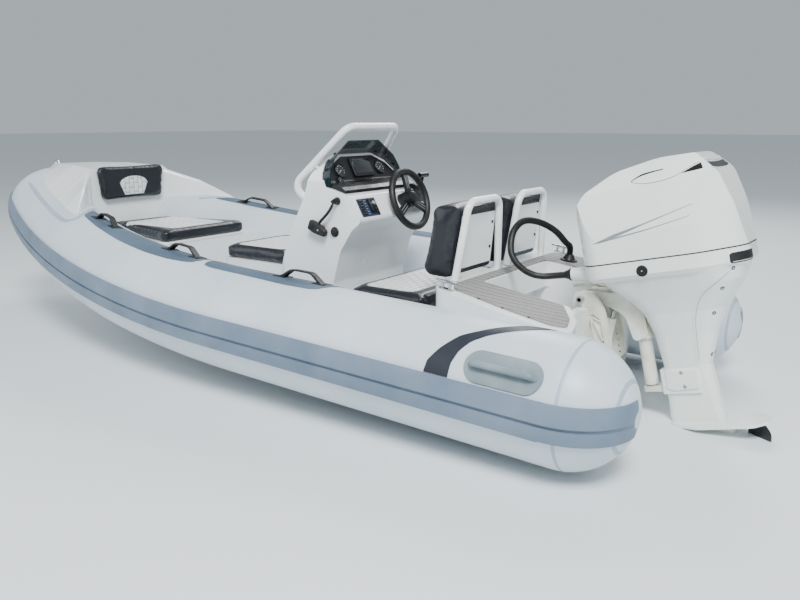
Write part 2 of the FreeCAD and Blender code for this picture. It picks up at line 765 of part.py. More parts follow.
boardGrown = Part.Face(roundedLoop([(-boardHalf, -190, 0), (boardHalf, -190, 0),
                                    (boardHalf, transomTop + seat, 0), (-boardHalf, transomTop + seat, 0)],
                                   lambda a, b: Vector(rakedX(b) - seat, a, b)))
boardGrown = boardGrown.extrude(Vector(transomThickness + 2 * seat, 0, 0))
aftDeck = fuse(deckHalf, mirrored(deckHalf), wellTray, bulkhead)
aftDeck = clearOfTube(aftDeck).cut(boardGrown)
aftDeck = max(aftDeck.Solids, key=lambda solid: solid.Volume)
add("aft_deck", aftDeck)

# Teak-look pad: one sheet over both wings and the bridge between them, on the deck's slope
padThickness = 6.0
padFrontX = deckFrontX - 48
padPlan = [(padFrontX, 0, 0, "well"), (padFrontX, 291, 60, "tube"), (375, 231, 60, "tube"),
           (110, 173, 600, "tube"), (-110, 146, 40, "tube"), (-170, 171, 30, "tube"), (-135, 281, 15, "tube"),
           (-40, wellHalf + 20, 30, "well"), (deckBridgeX + 12, wellHalf + 12, 40, "well"),
           (deckBridgeX + 12, 0, 0, "well")]
padTall = planProfile(wingOutline(padPlan), 300, 800)
teak = padTall.common(deckBand(seat, seat + padThickness))
add("teak_pads", fuse(teak, mirrored(teak)))

# Backrests: a bent tube hoop on the bridge, a white plate and a black pad before it
hoopRadius = 17.0
hoopBend = 60.0
hoopFootX = 440.0
hoopLean = 32.0
hoopTopZ = 945.0
backCentre = 245.0
hoopFootHalf = 198.0
hoopTopHalf = 140.0
hoopBase = deckHeight(hoopFootX) + 1.5
hoopRoute = [(hoopFootX, backCentre - hoopFootHalf, hoopBase),
             (hoopFootX - hoopLean, backCentre - hoopTopHalf, hoopTopZ),
             (hoopFootX - hoopLean, backCentre + hoopTopHalf, hoopTopZ),
             (hoopFootX, backCentre + hoopFootHalf, hoopBase)]
hoop = bentTube(hoopRoute, hoopRadius, hoopBend)
hoopTrim = deckBand(seat, 500)
hoop = hoop.common(hoopTrim)
add("hoop_port", hoop)
add("hoop_starboard", mirrored(hoop))

plateHalf = 150.0
platePlane = [(455.2, 640, 0), (462, 640, 0), (438, 880, 0), (431.2, 880, 0)]
backPlate = sideProfile(platePlane, backCentre - plateHalf, backCentre + plateHalf)
padHalf = 190.0
padFootX = 462 + seat
padLoop = [(padFootX + 4, 600, 25), (padFootX + 171, 600, 45), (padFootX + 105, 930, 45),
           (padFootX - 29, 930, 10)]
backPad = sideProfile(padLoop, backCentre - padHalf, backCentre + padHalf)


add("back_plates", pair(backPlate))
add("back_pads", pair(backPad))


def tubeFrame(distance, degrees):
    """Placement on the tube's skin: X along the tube, Z straight out of it."""
    point, heading = onTube(distance)
    level = Vector(heading.y, -heading.x, 0).normalize() * -1
    upwards = heading.cross(level)
    turn = math.radians(degrees)
    outOf = level * math.cos(turn) + upwards * math.sin(turn)
    return FreeCAD.Placement(point + outOf * tubeRadius,
                             FreeCAD.Rotation(heading, outOf.cross(heading), outOf, "XYZ"))


# Carry handles: an arched strap between two patches, near the tube's top
handleLength = 270.0
handleRise = 46.0
handleWidth = 32.0
handleStrap = 8.0
patchLength = 70.0
handleAngle = 97.0
handleDistances = (1590.0, 2435.0, 3275.0)


def handle():
    half = handleLength / 2
    low = -12.0
    arch = [(-half, low, 0), (-half + 5, low + 12, 20), (-half * 0.45, handleRise, 60),
            (half * 0.45, handleRise, 60), (half - 5, low + 12, 20), (half, low, 0),
            (half - 22, low, 0), (half - 24, low + 10, 15), (half * 0.42, handleRise - handleStrap, 50),
            (-half * 0.42, handleRise - handleStrap, 50), (24 - half, low + 10, 15), (22 - half, low, 0)]
    strap = sideProfile(arch, -handleWidth / 2, handleWidth / 2)
    patches = []
    for side in (-1, 1):
        middle = side * (half - patchLength / 2 + 18)
        patches.append(block(middle - patchLength / 2, middle + patchLength / 2, -handleWidth, handleWidth,
                             low, 4))
    return fuse(strap, *patches)


handles = []
for distance in handleDistances:
    piece = handle()
    piece.Placement = tubeFrame(distance, handleAngle)
    handles.append(clearOfTube(piece))
add("handles_port", Part.makeCompound(handles))
add("handles_starboard", Part.makeCompound([mirrored(piece) for piece in handles]))

# Moulded grab pads on the outer side of each stern
grabDistance = 430.0
grabAngle = 33.0
grabLength = 310.0
grabHeight = 125.0
grabPlate = 6.0
grabBarRadius = 13.0
grabRise = 26.0
corner = grabHeight / 2 - 0.1
grabLoop = [(-grabLength / 2, -grabHeight / 2, corner), (grabLength / 2, -grabHeight / 2, corner),
            (grabLength / 2, grabHeight / 2, corner), (-grabLength / 2, grabHeight / 2, corner)]
grab = planProfile(grabLoop, -60, 60)
grab.Placement = tubeFrame(grabDistance, grabAngle)
point, heading = onTube(grabDistance - grabLength)
skinSleeve = rod(point, point + heading * grabLength * 2, tubeRadius + grabPlate)
grab = clearOfTube(grab.common(skinSleeve))
barHalf = grabLength / 2 - 45
bar = bentTube([(-barHalf - 22, 0, -4), (-barHalf, 0, grabRise), (barHalf, 0, grabRise),
                (barHalf + 22, 0, -4)], grabBarRadius, 16)
bar.Placement = tubeFrame(grabDistance, grabAngle)
grab = fuse(grab, clearOfTube(bar))
add("grab_pads", pair(grab))

# Stern cleats on the deck's forward outer corners
cleatX = 395.0
cleatY = 592.0
sternCleat = cleat(cleatX, cleatY, 0, 110)
sternCleat.rotate(Vector(cleatX, cleatY, 0), Vector(0, 1, 0), -deckSlope)
sternCleat.translate(Vector(0, 0, deckHeight(cleatX) + seat))
add("stern_cleats", pair(sternCleat))

# Hose gland on the starboard wing, standing square to the deck
hoseRadius = 15.0
glandX = 280.0
glandY = -440.0
glandHeight = 34.0
deckNormal = Vector(-slopeRise, 0, 1).normalize()
glandBase = Vector(glandX, glandY, deckHeight(glandX)) + deckNormal * (padThickness + 2 * seat)
gland = fuse(rod(glandBase, glandBase + deckNormal * 8, 44),
             Part.makeCone(36, hoseRadius + 5, glandHeight, glandBase, deckNormal))
gland = gland.cut(rod(glandBase - deckNormal, glandBase + deckNormal * 100, hoseRadius + seat))
add("hose_gland", gland)

# Outboard, drawn with its leg upright and its tilt axis at the origin, then trimmed aft.
engine = FreeCAD.Placement(Vector(tiltX, 0, tiltZ), FreeCAD.Rotation(Vector(0, 1, 0), trimAngle))


def addEngine(name, shape):
    shape = shape.copy()
    shape.Placement = engine.multiply(shape.Placement)
    add(name, shape)


cowlFore = -50.0
cowlMiddle = -385.0
cowlHeight = 400.0
cowlSide = [(cowlFore, seamZ, 0), (-56, 385, 60), (-110, 455, 110), (-250, 522, 260), (-430, 548, 400),
            (-585, 540, 45), (-665, 450, 90), (-700, 319, 200), (-723, seamZ, 0)]
cowlPlan = [(cowlFore, -125, 60), (-95, -cowlHalfWidth, 100), (-560, -cowlHalfWidth, 200), (-723, -105, 80),
            (-723, 105, 80), (-560, cowlHalfWidth, 200), (-95, cowlHalfWidth, 100), (cowlFore, 125, 60)]
# The crown's outline starts a little outside the flat sides, so that it crosses them at a clear angle
crownHalf = cowlHalfWidth + 2
cowlFront = [(-crownHalf, seamZ - 100, 0), (crownHalf, seamZ - 100, 0), (crownHalf, 250, 220),
             (158, 455, 110), (105, 556, 80), (-105, 556, 80), (-158, 455, 110), (-crownHalf, 250, 220)]


def shrunk(points, factorA, factorB, centreA, centreB):
    factor = min(factorA, factorB)
    return [(centreA + (a - centreA) * factorA, centreB + (b - centreB) * factorB, r * factor)
            for a, b, r in points]


def cowlForm(skin):
    """Crowned cowl: side, plan and front outlines crossed, all brought in by the skin."""
    across = 1 - skin / cowlHalfWidth
    fore = 1 - skin / abs(cowlMiddle)
    high = 1 - skin / cowlHeight
    side = sideProfile(shrunk(cowlSide, fore, high, cowlMiddle, seamZ), -300, 300)
    plan = planProfile(shrunk(cowlPlan, fore, across, cowlMiddle, 0), seamZ, 700)
    front = frontProfile(shrunk(cowlFront, across, high, 0, seamZ), -800, 100)
    return side.common(plan).common(front)


cowl = cowlForm(0).cut(cowlForm(cowlSkin))
cowl.translate(Vector(0, 0, seat))
addEngine("cowl", cowl)

panBottom = 69.0
panUpper = planProfile(cowlPlan, panBottom + 20, seamZ)
panLower = Part.makeLoft([roundedLoop(cowlPlan, lambda a, b: Vector(a, b, panBottom + 20)),
                          roundedLoop(shrunk(cowlPlan, 0.96, 0.92, cowlMiddle, 0),
                                      lambda a, b: Vector(a, b, panBottom))], True, True)
panWell = planProfile(shrunk(cowlPlan, 0.975, 0.95, cowlMiddle, 0), panBottom + 24, seamZ + 1)
pan = fuse(panUpper, panLower).cut(panWell)
addEngine("lower_pan", pan)

blockBottom = panBottom + 24 + seat
addEngine("powerhead", fuse(block(-560, -130, -120, 120, blockBottom, 420),
                            block(-640, -560, -80, 80, blockBottom + 60, 360)))

# Leg casing: rounded sections from the pan's underside to the joint with the gearcase
# Columns: z, front x, rear x, half-width, corner radius
legSections = (
    (panBottom - seat, -85, -700, 172, 120),
    (20, -135, -680, 150, 100),
    (-40, -200, -640, 120, 90),
    (-100, -245, -590, 95, 75),
    (-200, -275, -540, 72, 60),
    (legFootZ, -291, -494, 50, 44),
)


def legLoop(z, front, rear, half, corner):
    points = [(front, half, corner), (front, -half, corner), (rear, -half, corner), (rear, half, corner)]
    return roundedLoop(points, lambda a, b: Vector(a, b, z))


leg = Part.makeLoft([legLoop(*row) for row in legSections], True, True)

# Gearcase: column, anti-ventilation plate, torpedo and skeg
column = Part.makeLoft([legLoop(legFootZ - seat, -291, -494, 50, 44),
                        legLoop(plateZ, -285, -520, 36, 30)], True, True)
plate = planProfile([(-255, 0, 20), (-300, 70, 60), (-420, 118, 80), (-640, 95, 60), (-690, 40, 30),
                     (-690, -40, 30), (-640, -95, 60), (-420, -118, 80), (-300, -70, 60)],
                    plateZ - 5, plateZ + 7)
torpedoRadius = 54.0
torpedoNose = -262.0
torpedoTail = -588.0
torpedoBody = rod((torpedoNose - 70, 0, propZ), (torpedoTail, 0, propZ), torpedoRadius)
torpedoTip = Part.makeCone(16, torpedoRadius, 70, Vector(torpedoNose, 0, propZ), Vector(-1, 0, 0))
strut = Part.makeLoft([legLoop(plateZ, -300, -545, 34, 28), legLoop(propZ, -300, -560, 24, 20)], True, True)
skegLoop = [(-300, propZ, 0), (-335, propZ - 120, 30), (-450, propZ - 195, 20), (-540, propZ - 190, 20),
            (-560, propZ, 0)]
skeg = sideProfile(skegLoop, -6, 6)
anodePad = planProfile([(-281, -53, 10), (-450, -53, 10), (-450, 53, 10), (-281, 53, 10)], -462, -356)
gearcase = fuse(column, anodePad, plate, torpedoBody, torpedoTip, strut, skeg)
addEngine("gearcase", gearcase)

# Propeller: hub with three pitched blades
propStart = torpedoTail - 0.6
hubLengthProp = 100.0
propHub = Part.makeCone(50, 38, hubLengthProp, Vector(propStart, 0, propZ), Vector(-1, 0, 0))
bladeThickness = 9.0
bladeLoop = [(-46, 30, 0), (46, 30, 0), (62, 95, 40), (28, propRadius, 35), (-40, propRadius - 8, 35),
             (-60, 80, 30)]
bladePitch = 32.0
blades = []
for index in range(3):
    blade = Part.Face(roundedLoop(bladeLoop, lambda a, b: Vector(0, a, b))).extrude(
        Vector(bladeThickness, 0, 0))
    blade.translate(Vector(-bladeThickness / 2, 0, 0))
    blade.rotate(Vector(0, 0, 0), Vector(0, 0, 1), 90 - bladePitch)
    blade.rotate(Vector(0, 0, 0), Vector(1, 0, 0), index * 120)
    blade.translate(Vector(propStart - hubLengthProp * 0.5, 0, propZ))
    blades.append(blade)
addEngine("propeller", fuse(propHub, *blades))

# Swivel bracket: sleeve on the tilt tube, an arm, and the steering tube
armHalf = 48.0
sleeveHalf = 70.0
sleeveRadius = 31.0
tiltClear = 0.5
armTop = 4.0
arm = sideProfile([(20, -20, 20), (0, 28, 25), (-50, 24, 20), (-110, armTop, 40), (swivelX - 32, armTop, 20),
                   (swivelX - 32, -200, 20), (swivelX + 32, -225, 20), (-165, -100, 60), (-72, -38, 30)],
                  -armHalf, armHalf)
armSlot = 28.0
slotTop = -26.0
arm = arm.cut(block(-180, -34, -armSlot, armSlot, -300, slotTop))
sleeve = rod((0, -sleeveHalf, 0), (0, sleeveHalf, 0), sleeveRadius)
steerTube = rod((swivelX, 0, -425), (swivelX, 0, armTop), 29)
headBlock = rod((swivelX, 0, -215), (swivelX, 0, armTop), 42)
swivel = fuse(arm, sleeve, steerTube, headBlock)
tiltBore = rod((0, -200, 0), (0, 200, 0), tiltTubeRadius + tiltClear)
steerBore = rod((swivelX, 0, -500), (swivelX, 0, 100), steerShaftRadius + tiltClear)
addEngine("swivel_bracket", swivel.cut(tiltBore).cut(steerBore))

# Steering shaft, its arm under the pan and its foot yoke on the leg
armClear = 6.0
pocketTop = armTop + armClear
pocketWedge = 54.0
pocketReach = 260.0
pocketRadius = 63.5
sideReach = pocketReach * math.tan(math.radians(pocketWedge))
wedge = planProfile([(swivelX - 8, 0, 0), (swivelX + pocketReach, -sideReach, 0),
                     (swivelX + pocketReach, sideReach, 0)], -330, pocketTop)
leg = leg.cut(wedge).cut(rod((swivelX, 0, -330), (swivelX, 0, pocketTop), pocketRadius))
# The bracket's arm, grown by its clearance, is swept out of the leg over the steering's range
steerRange = 30
steerStep = 15
sweptHalf = armHalf + armClear
armRun = block(swivelX - 10, swivelX + pocketReach, -sweptHalf, sweptHalf, -330, pocketTop)
armRise = sideProfile([(-128, 0, 0), (-128, pocketTop + 1, 0), (-105, 15, 40), (-50, 31, 30), (8, 35, 20),
                       (40, 20, 0), (40, 0, 0)], -sweptHalf, sweptHalf)
for angle in range(-steerRange, steerRange + 1, steerStep):
    for swept in (armRun, armRise):
        swept = swept.copy()
        swept.rotate(Vector(swivelX, 0, 0), Vector(0, 0, 1), angle)
        leg = leg.cut(swept)
leg = max(leg.Solids, key=lambda solid: solid.Volume)
armLinkRise = 36.0
armLinkDepth = 14.0
shaft = rod((swivelX, 0, -455), (swivelX, 0, pocketTop + armLinkRise + armLinkDepth), steerShaftRadius)
armLink = planProfile([(-240, -18, 8), (-240, 18, 8), (70, 18, 17), (70, -18, 17)],
                      pocketTop + armLinkRise, pocketTop + armLinkRise + armLinkDepth)
footYoke = planProfile([(swivelX + 32, -30, 15), (swivelX + 32, 30, 15), (-289, 40, 10), (-289, -40, 10)],
                       -455, -432)
steering = fuse(shaft, armLink, footYoke).cut(column).cut(anodePad)
steering = max(steering.Solids, key=lambda solid: solid.Volume)
leg = leg.cut(steering)
addEngine("leg_casing", max(leg.Solids, key=lambda solid: solid.Volume))
addEngine("steering_arm", steering)

# Rigging sleeve on the pan's front, port of the centre
sleeveY = 60.0
sleeveLength = 88.0
sleeveStart = cowlFore + 1
sleeveZ = 106.0
sleeveHeading = Vector(1, 0, 0.05).normalize()
rigging = Part.makeCone(33, 29, sleeveLength, Vector(sleeveStart, sleeveY, sleeveZ), sleeveHeading)
addEngine("rigging_sleeve", rigging.cut(planProfile(cowlPlan, panBottom, seamZ)))

# Rigging hose: one loop of corrugated hose from the gland to the sleeve's mouth, in two halves
sleeveMouth = engine.multVec(Vector(sleeveStart, sleeveY, sleeveZ) + sleeveHeading * (sleeveLength + 1))
mouthHeading = engine.Rotation.multVec(sleeveHeading)
hosePoints = [
    glandBase + deckNormal * 10, glandBase + deckNormal * 75,
    Vector(252, -335, 684), Vector(262, -240, 755), Vector(295, -130, 810), Vector(332, -10, 835),
    Vector(340, 80, 800), Vector(334, 124, 742), Vector(318, 146, 684), Vector(272, 136, 625),
    Vector(205, 94, 586), sleeveMouth + mouthHeading * 65, sleeveMouth]
hoseSplit = 5
runShare = 0.45


def cordPath(points):
    """Straight runs joined by arcs as large as the runs beside them allow."""
    edges = []
    last = points[0]
    for i in range(1, len(points) - 1):
        before = points[i - 1] - points[i]
        after = points[i + 1] - points[i]
        turn = math.pi - before.getAngle(after)
        reach = runShare * min(before.Length, after.Length)
        radius = reach / math.tan(turn / 2)
        start = points[i] + before.normalize() * reach
        end = points[i] + after.normalize() * reach
        bisector = (before + after).normalize()
        middle = points[i] + bisector * (radius / math.cos(turn / 2) - radius)
        edges.append(Part.makeLine(last, start))
        edges.append(Part.Arc(start, middle, end).toShape())
        last = end
    edges.append(Part.makeLine(last, points[-1]))
    return Part.Wire(edges)


def cord(points, radius):
    ring = Part.Wire([Part.makeCircle(radius, points[0], points[1] - points[0])])
    return cordPath(points).makePipeShell([ring], True, False)


splitPoint = (hosePoints[hoseSplit] + hosePoints[hoseSplit + 1]) * 0.5
add("hose_fixed", cord(hosePoints[:hoseSplit + 1] + [splitPoint], hoseRadius))
add("hose_moving", cord([splitPoint] + hosePoints[hoseSplit + 1:], hoseRadius))

# Clamp brackets on the transom: two ribbed quadrants with the tilt tube between them
clampInner = 76.0
clampThickness = 26.0
clampSide = [(22, tiltZ + 22, 14), (22, transomTop + seat + 1, 0),
             (rakedX(transomTop) - seat, transomTop + seat + 1, 0),
             (rakedX(190) - seat, 190, 0), (-95, 182, 20), (-168, 236, 20), (-160, 330, 90),
             (-122, 470, 90), (-70, tiltZ + 34, 30), (-16, tiltZ + 36, 20)]
clampPlate = sideProfile(clampSide, clampInner, clampInner + clampThickness)
windowDepth = 9.0
windowLoop = [(-52, 300, 15), (-62, 225, 15), (-140, 255, 15), (-130, 340, 30), (-108, 430, 30),
              (-62, 455, 12)]
clampOuter = clampInner + clampThickness
clampWindow = sideProfile(windowLoop, clampOuter - windowDepth, clampOuter + 1)
ribStart = Vector(-60, 0, 440)
ribs = []
for endX, endZ in ((-150, 300), (-120, 215), (-160, 400)):
    heading = Vector(endX + 60, 0, endZ - 440)
    length = heading.Length
    rib = block(0, length, clampInner + clampThickness - windowDepth - 1, clampInner + clampThickness, -4, 4)
    rib.rotate(Vector(0, 0, 0), Vector(0, 1, 0), -math.degrees(math.atan2(heading.z, heading.x)))
    rib.translate(ribStart)
    ribs.append(rib.common(clampWindow))
pinHoles = [rod((-128 - 6 * i, 0, 330 - 28 * i), (-128 - 6 * i, 200, 330 - 28 * i), 6) for i in range(4)]
tiltSeat = rod((tiltX, 0, tiltZ), (tiltX, 200, tiltZ), tiltTubeRadius + 0.1)
clamp = clampPlate.cut(clampWindow)
for rib in ribs:
    clamp = clamp.fuse(rib)
for hole in pinHoles:
    clamp = clamp.cut(hole)
clamp = clamp.cut(tiltSeat).removeSplitter()
clamp = max(clamp.Solids, key=lambda solid: solid.Volume)
add("clamp_brackets", pair(clamp))

tiltReach = clampInner + clampThickness + 26
tiltTube = rod((tiltX, -tiltReach, tiltZ), (tiltX, tiltReach, tiltZ), tiltTubeRadius).cut(
    rod((tiltX, -300, tiltZ), (tiltX, 300, tiltZ), 9))

# Tilt cylinder between the clamps: lower pin, barrel and rod
lowerPin = Vector(-92, 0, 232)
upperPinLocal = Vector(-104, 0, -66)
upperPin = engine.multVec(upperPinLocal)
cylinderAxis = (upperPin - lowerPin).normalize()
barrelRadius = 24.0
barrelLength = 190.0
rodRadius = 10.0
pinRadius = 9.0
pin = rod((lowerPin.x, -clampInner, lowerPin.z), (lowerPin.x, clampInner, lowerPin.z), pinRadius)
add("bracket_pins", Part.makeCompound([tiltTube, pin]))
barrel = rod(lowerPin + cylinderAxis * 16, lowerPin + cylinderAxis * barrelLength, barrelRadius)
barrelEye = rod(lowerPin - Vector(0, 22, 0), lowerPin + Vector(0, 22, 0), 22)
eyeBore = rod(lowerPin - Vector(0, 50, 0), lowerPin + Vector(0, 50, 0), pinRadius + 0.3)
barrel = fuse(barrel, barrelEye).cut(eyeBore)
boreStart = 38.0
rodStart = 73.0
rodBore = rod(lowerPin + cylinderAxis * boreStart, lowerPin + cylinderAxis * 300, rodRadius + 0.3)
add("tilt_cylinder", barrel.cut(rodBore))
rodEnd = upperPin - cylinderAxis * 14
add("tilt_rod", fuse(rod(lowerPin + cylinderAxis * rodStart, rodEnd, rodRadius),
                     rod(upperPin - Vector(0, 14, 0), upperPin + Vector(0, 14, 0), 17)).cut(
    rod(upperPin - Vector(0, 50, 0), upperPin + Vector(0, 50, 0), 9)))

for name, shape in sorted(parts.items()):
    if not shape.isValid() or shape.Volume <= 0:
        print("look at", name)
    if len(shape.Solids) > 1 and shape.ShapeType != "Compound":
        print("more than one solid in", name)
    shape.exportStep("parts/" + name + ".step")
    box = shape.BoundBox
    print(name, [round(v) for v in (box.XMin, box.XMax, box.YMin, box.YMax, box.ZMin, box.ZMax)],
          round(shape.Volume / 1e6, 2), "litres")
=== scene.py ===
import json
import math

import bpy
from mathutils import Matrix, Vector

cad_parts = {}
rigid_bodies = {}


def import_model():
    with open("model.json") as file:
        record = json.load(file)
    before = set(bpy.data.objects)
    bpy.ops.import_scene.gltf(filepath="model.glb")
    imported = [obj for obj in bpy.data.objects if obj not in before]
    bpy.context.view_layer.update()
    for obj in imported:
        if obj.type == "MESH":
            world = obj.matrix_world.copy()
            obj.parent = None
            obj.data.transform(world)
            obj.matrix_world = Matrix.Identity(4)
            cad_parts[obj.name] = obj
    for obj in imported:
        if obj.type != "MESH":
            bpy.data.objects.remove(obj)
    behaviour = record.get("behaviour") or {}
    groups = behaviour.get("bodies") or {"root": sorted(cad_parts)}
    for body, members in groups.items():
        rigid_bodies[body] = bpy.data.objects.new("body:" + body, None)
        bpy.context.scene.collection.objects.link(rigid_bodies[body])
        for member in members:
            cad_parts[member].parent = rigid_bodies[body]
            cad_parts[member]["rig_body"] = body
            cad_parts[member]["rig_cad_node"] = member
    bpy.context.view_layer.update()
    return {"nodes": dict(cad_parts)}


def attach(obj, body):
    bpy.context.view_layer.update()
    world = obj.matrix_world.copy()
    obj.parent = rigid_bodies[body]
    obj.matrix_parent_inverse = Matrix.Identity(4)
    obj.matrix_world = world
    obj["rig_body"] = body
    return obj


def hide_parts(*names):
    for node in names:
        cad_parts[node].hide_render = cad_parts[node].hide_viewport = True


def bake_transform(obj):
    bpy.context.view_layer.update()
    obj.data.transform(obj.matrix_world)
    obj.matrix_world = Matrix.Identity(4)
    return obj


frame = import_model()
nodes = frame["nodes"]
print("loaded", len(nodes), "solids")

# Camera where the photograph was taken: a low dinghy's height, off the port quarter
cameraSetup = {"place": (-1.326, 3.40, 1.29), "yaw": -55.1, "dip": 12.77, "lens": 35.55, "sensor": 36.0}


def addCamera(setup):
    data = bpy.data.cameras.new("camera")
    data.lens = setup["lens"]
    data.sensor_width = setup["sensor"]
    data.clip_end = 200
    camera = bpy.data.objects.new("camera", data)
    bpy.context.scene.collection.objects.link(camera)
    camera.location = setup["place"]
    camera.rotation_euler = (math.radians(90 - setup["dip"]), 0, math.radians(setup["yaw"] - 90))
    bpy.context.scene.camera = camera


addCamera(cameraSetup)


def clearSelection():
    bpy.ops.object.select_all(action="DESELECT")


def pick(piece):
    clearSelection()
    piece.select_set(True)
    bpy.context.view_layer.objects.active = piece


# No longer turned, moved or scaled: the place goes into the mesh
def settle(piece):
    pick(piece)
    bpy.ops.object.transform_apply(location=True, rotation=True, scale=True)


def useModifier(piece, kind, **values):
    pick(piece)
    modifier = piece.modifiers.new(kind.lower(), kind)
    for key, value in values.items():
        setattr(modifier, key, value)
    bpy.ops.object.modifier_apply(modifier=modifier.name)


def smoothFaces(piece, degrees=35):
    pick(piece)
    bpy.ops.object.shade_smooth_by_angle(angle=math.radians(degrees))


def outwards(piece):
    pick(piece)
    bpy.ops.object.mode_set(mode="EDIT")
    bpy.ops.mesh.select_all(action="SELECT")
    bpy.ops.mesh.remove_doubles(threshold=0.00002)
    bpy.ops.mesh.normals_make_consistent(inside=False)
    bpy.ops.object.mode_set(mode="OBJECT")


def copyPiece(piece, name):
    copy = piece.copy()
    copy.data = piece.data.copy()
    copy.name = name
    bpy.context.scene.collection.objects.link(copy)
    return copy


# Screen colour, 0 to 255, as the shader's linear one
def paint(red, green, blue):
    linear = [c / 255 / 12.92 if c < 10 else ((c / 255 + 0.055) / 1.055) ** 2.4 for c in (red, green, blue)]
    return (*linear, 1.0)


# Short way to place and join shader nodes
class Nodes:

    def __init__(self, material):
        self.tree = material.node_tree
        self.shader = self.tree.nodes["Principled BSDF"]
        self.place = self.add("ShaderNodeTexCoord").outputs["Object"]

    def add(self, kind, inputs=None, **values):
        made = self.tree.nodes.new(kind)
        for key, value in values.items():
            setattr(made, key, value)
        for key, value in (inputs or {}).items():
            if isinstance(value, bpy.types.NodeSocket):
                self.tree.links.new(value, made.inputs[key])
            else:
                made.inputs[key].default_value = value
        return made

    def maths(self, how, first, second=0.0):
        return self.add("ShaderNodeMath", {0: first, 1: second}, operation=how).outputs[0]

    def noise(self, scale, detail=3.0, roughness=0.55, where=None):
        inputs = {"Vector": where or self.place, "Scale": scale, "Detail": detail, "Roughness": roughness}
        return self.add("ShaderNodeTexNoise", inputs).outputs["Fac"]

    def spread(self, value, low, high, toLow=0.0, toHigh=1.0):
        return self.add("ShaderNodeMapRange", {0: value, 1: low, 2: high, 3: toLow, 4: toHigh}).outputs[0]

    def mix(self, share, first, second):
        made = self.add("ShaderNodeMix", data_type="RGBA")
        for key, value in ((0, share), (6, first), (7, second)):
            if isinstance(value, bpy.types.NodeSocket):
                self.tree.links.new(value, made.inputs[key])
            else:
                made.inputs[key].default_value = value
        return made.outputs[2]

    def put(self, socket, value):
        if isinstance(value, bpy.types.NodeSocket):
            self.tree.links.new(value, self.shader.inputs[socket])
        else:
            self.shader.inputs[socket].default_value = value

    def bump(self, height, strength, depth, below=None):
        inputs = {"Height": height, "Strength": strength, "Distance": depth}
        if below is not None:
            inputs["Normal"] = below
        return self.add("ShaderNodeBump", inputs).outputs["Normal"]


# Two tones with their mottle's scale, roughness from low to high, and the grain's scale and depth in mm
finishes = {
    "tubeFabric": {"light": (208, 218, 226), "dark": (195, 207, 217), "mottle": 2.2, "rough": (0.30, 0.44),
                   "grain": 700, "depth": 0.10, "waves": 0.8},
    "strakeFabric": {"light": (116, 132, 150), "dark": (98, 115, 135), "mottle": 3.0, "rough": (0.42, 0.58),
                     "grain": 500, "depth": 0.12},
    "patchFabric": {"light": (86, 104, 122), "dark": (70, 89, 108), "mottle": 3.0, "rough": (0.46, 0.62),
                    "grain": 800, "depth": 0.12},
    "darkFabric": {"light": (34, 40, 52), "dark": (22, 27, 36), "mottle": 4.0, "rough": (0.42, 0.56),
                   "grain": 800, "depth": 0.12},
    "seamTape": {"light": (168, 184, 198), "dark": (156, 172, 188), "mottle": 6.0, "rough": (0.4, 0.55),
                 "grain": 800, "depth": 0.08},
    "gelcoat": {"light": (240, 243, 243), "dark": (229, 233, 235), "mottle": 1.6, "rough": (0.16, 0.28),
                "grain": 60, "depth": 0.05, "coat": 0.35},
    "hullCoat": {"light": (236, 239, 240), "dark": (214, 219, 220), "mottle": 1.1, "rough": (0.22, 0.4),
                 "grain": 45, "depth": 0.08, "coat": 0.25},
    "deckCoat": {"light": (226, 230, 232), "dark": (212, 217, 220), "mottle": 2.4, "rough": (0.5, 0.7),
                 "grain": 330, "depth": 0.5},
    "enginePaint": {"light": (238, 241, 238), "dark": (228, 232, 230), "mottle": 2.0, "rough": (0.14, 0.24),
                    "grain": 90, "depth": 0.03, "coat": 0.6},
    "castPaint": {"light": (234, 235, 226), "dark": (205, 203, 186), "mottle": 9.0, "rough": (0.32, 0.5),
                  "grain": 240, "depth": 0.25, "coat": 0.2},
    "railPaint": {"light": (243, 245, 245), "dark": (228, 231, 232), "mottle": 5.0, "rough": (0.2, 0.32),
                  "grain": 300, "depth": 0.06, "coat": 0.3},
    "blackRubber": {"light": (22, 23, 26), "dark": (12, 13, 15), "mottle": 12.0, "rough": (0.42, 0.6),
                    "grain": 500, "depth": 0.2},
    "blackPlastic": {"light": (16, 18, 22), "dark": (9, 10, 13), "mottle": 8.0, "rough": (0.26, 0.42),
                     "grain": 600, "depth": 0.12},
    "greyRubber": {"light": (132, 146, 152), "dark": (112, 127, 134), "mottle": 7.0, "rough": (0.5, 0.66),
                   "grain": 500, "depth": 0.18},
    "steel": {"light": (206, 208, 210), "dark": (176, 179, 182), "mottle": 14.0, "rough": (0.14, 0.3),
              "grain": 420, "depth": 0.03, "metal": 1.0},
    "aluminium": {"light": (198, 200, 203), "dark": (168, 171, 175), "mottle": 18.0, "rough": (0.3, 0.45),
                  "grain": 300, "depth": 0.1, "metal": 0.9},
    "panelGloss": {"light": (20, 44, 74), "dark": (12, 28, 50), "mottle": 9.0, "rough": (0.08, 0.16),
                   "grain": 200, "depth": 0.02, "coat": 0.6},
    "screenGlass": {"light": (14, 18, 26), "dark": (8, 11, 17), "mottle": 5.0, "rough": (0.05, 0.1),
                    "grain": 200, "depth": 0.01, "coat": 0.8},
    "dialWhite": {"light": (208, 212, 212), "dark": (188, 193, 194), "mottle": 9.0, "rough": (0.3, 0.4),
                  "grain": 300, "depth": 0.02},
    "stripeGrey": {"light": (128, 140, 142), "dark": (104, 117, 120), "mottle": 9.0, "rough": (0.2, 0.3),
                   "grain": 300, "depth": 0.02, "coat": 0.4},
    # Darker grey of the cast paint, laid on as painted shade in the recess beside the leg cover's lip
    "castRecess": {"light": (176, 184, 176), "dark": (148, 157, 150), "mottle": 9.0, "rough": (0.3, 0.45),
                   "grain": 240, "depth": 0.1},
}
materials = {}


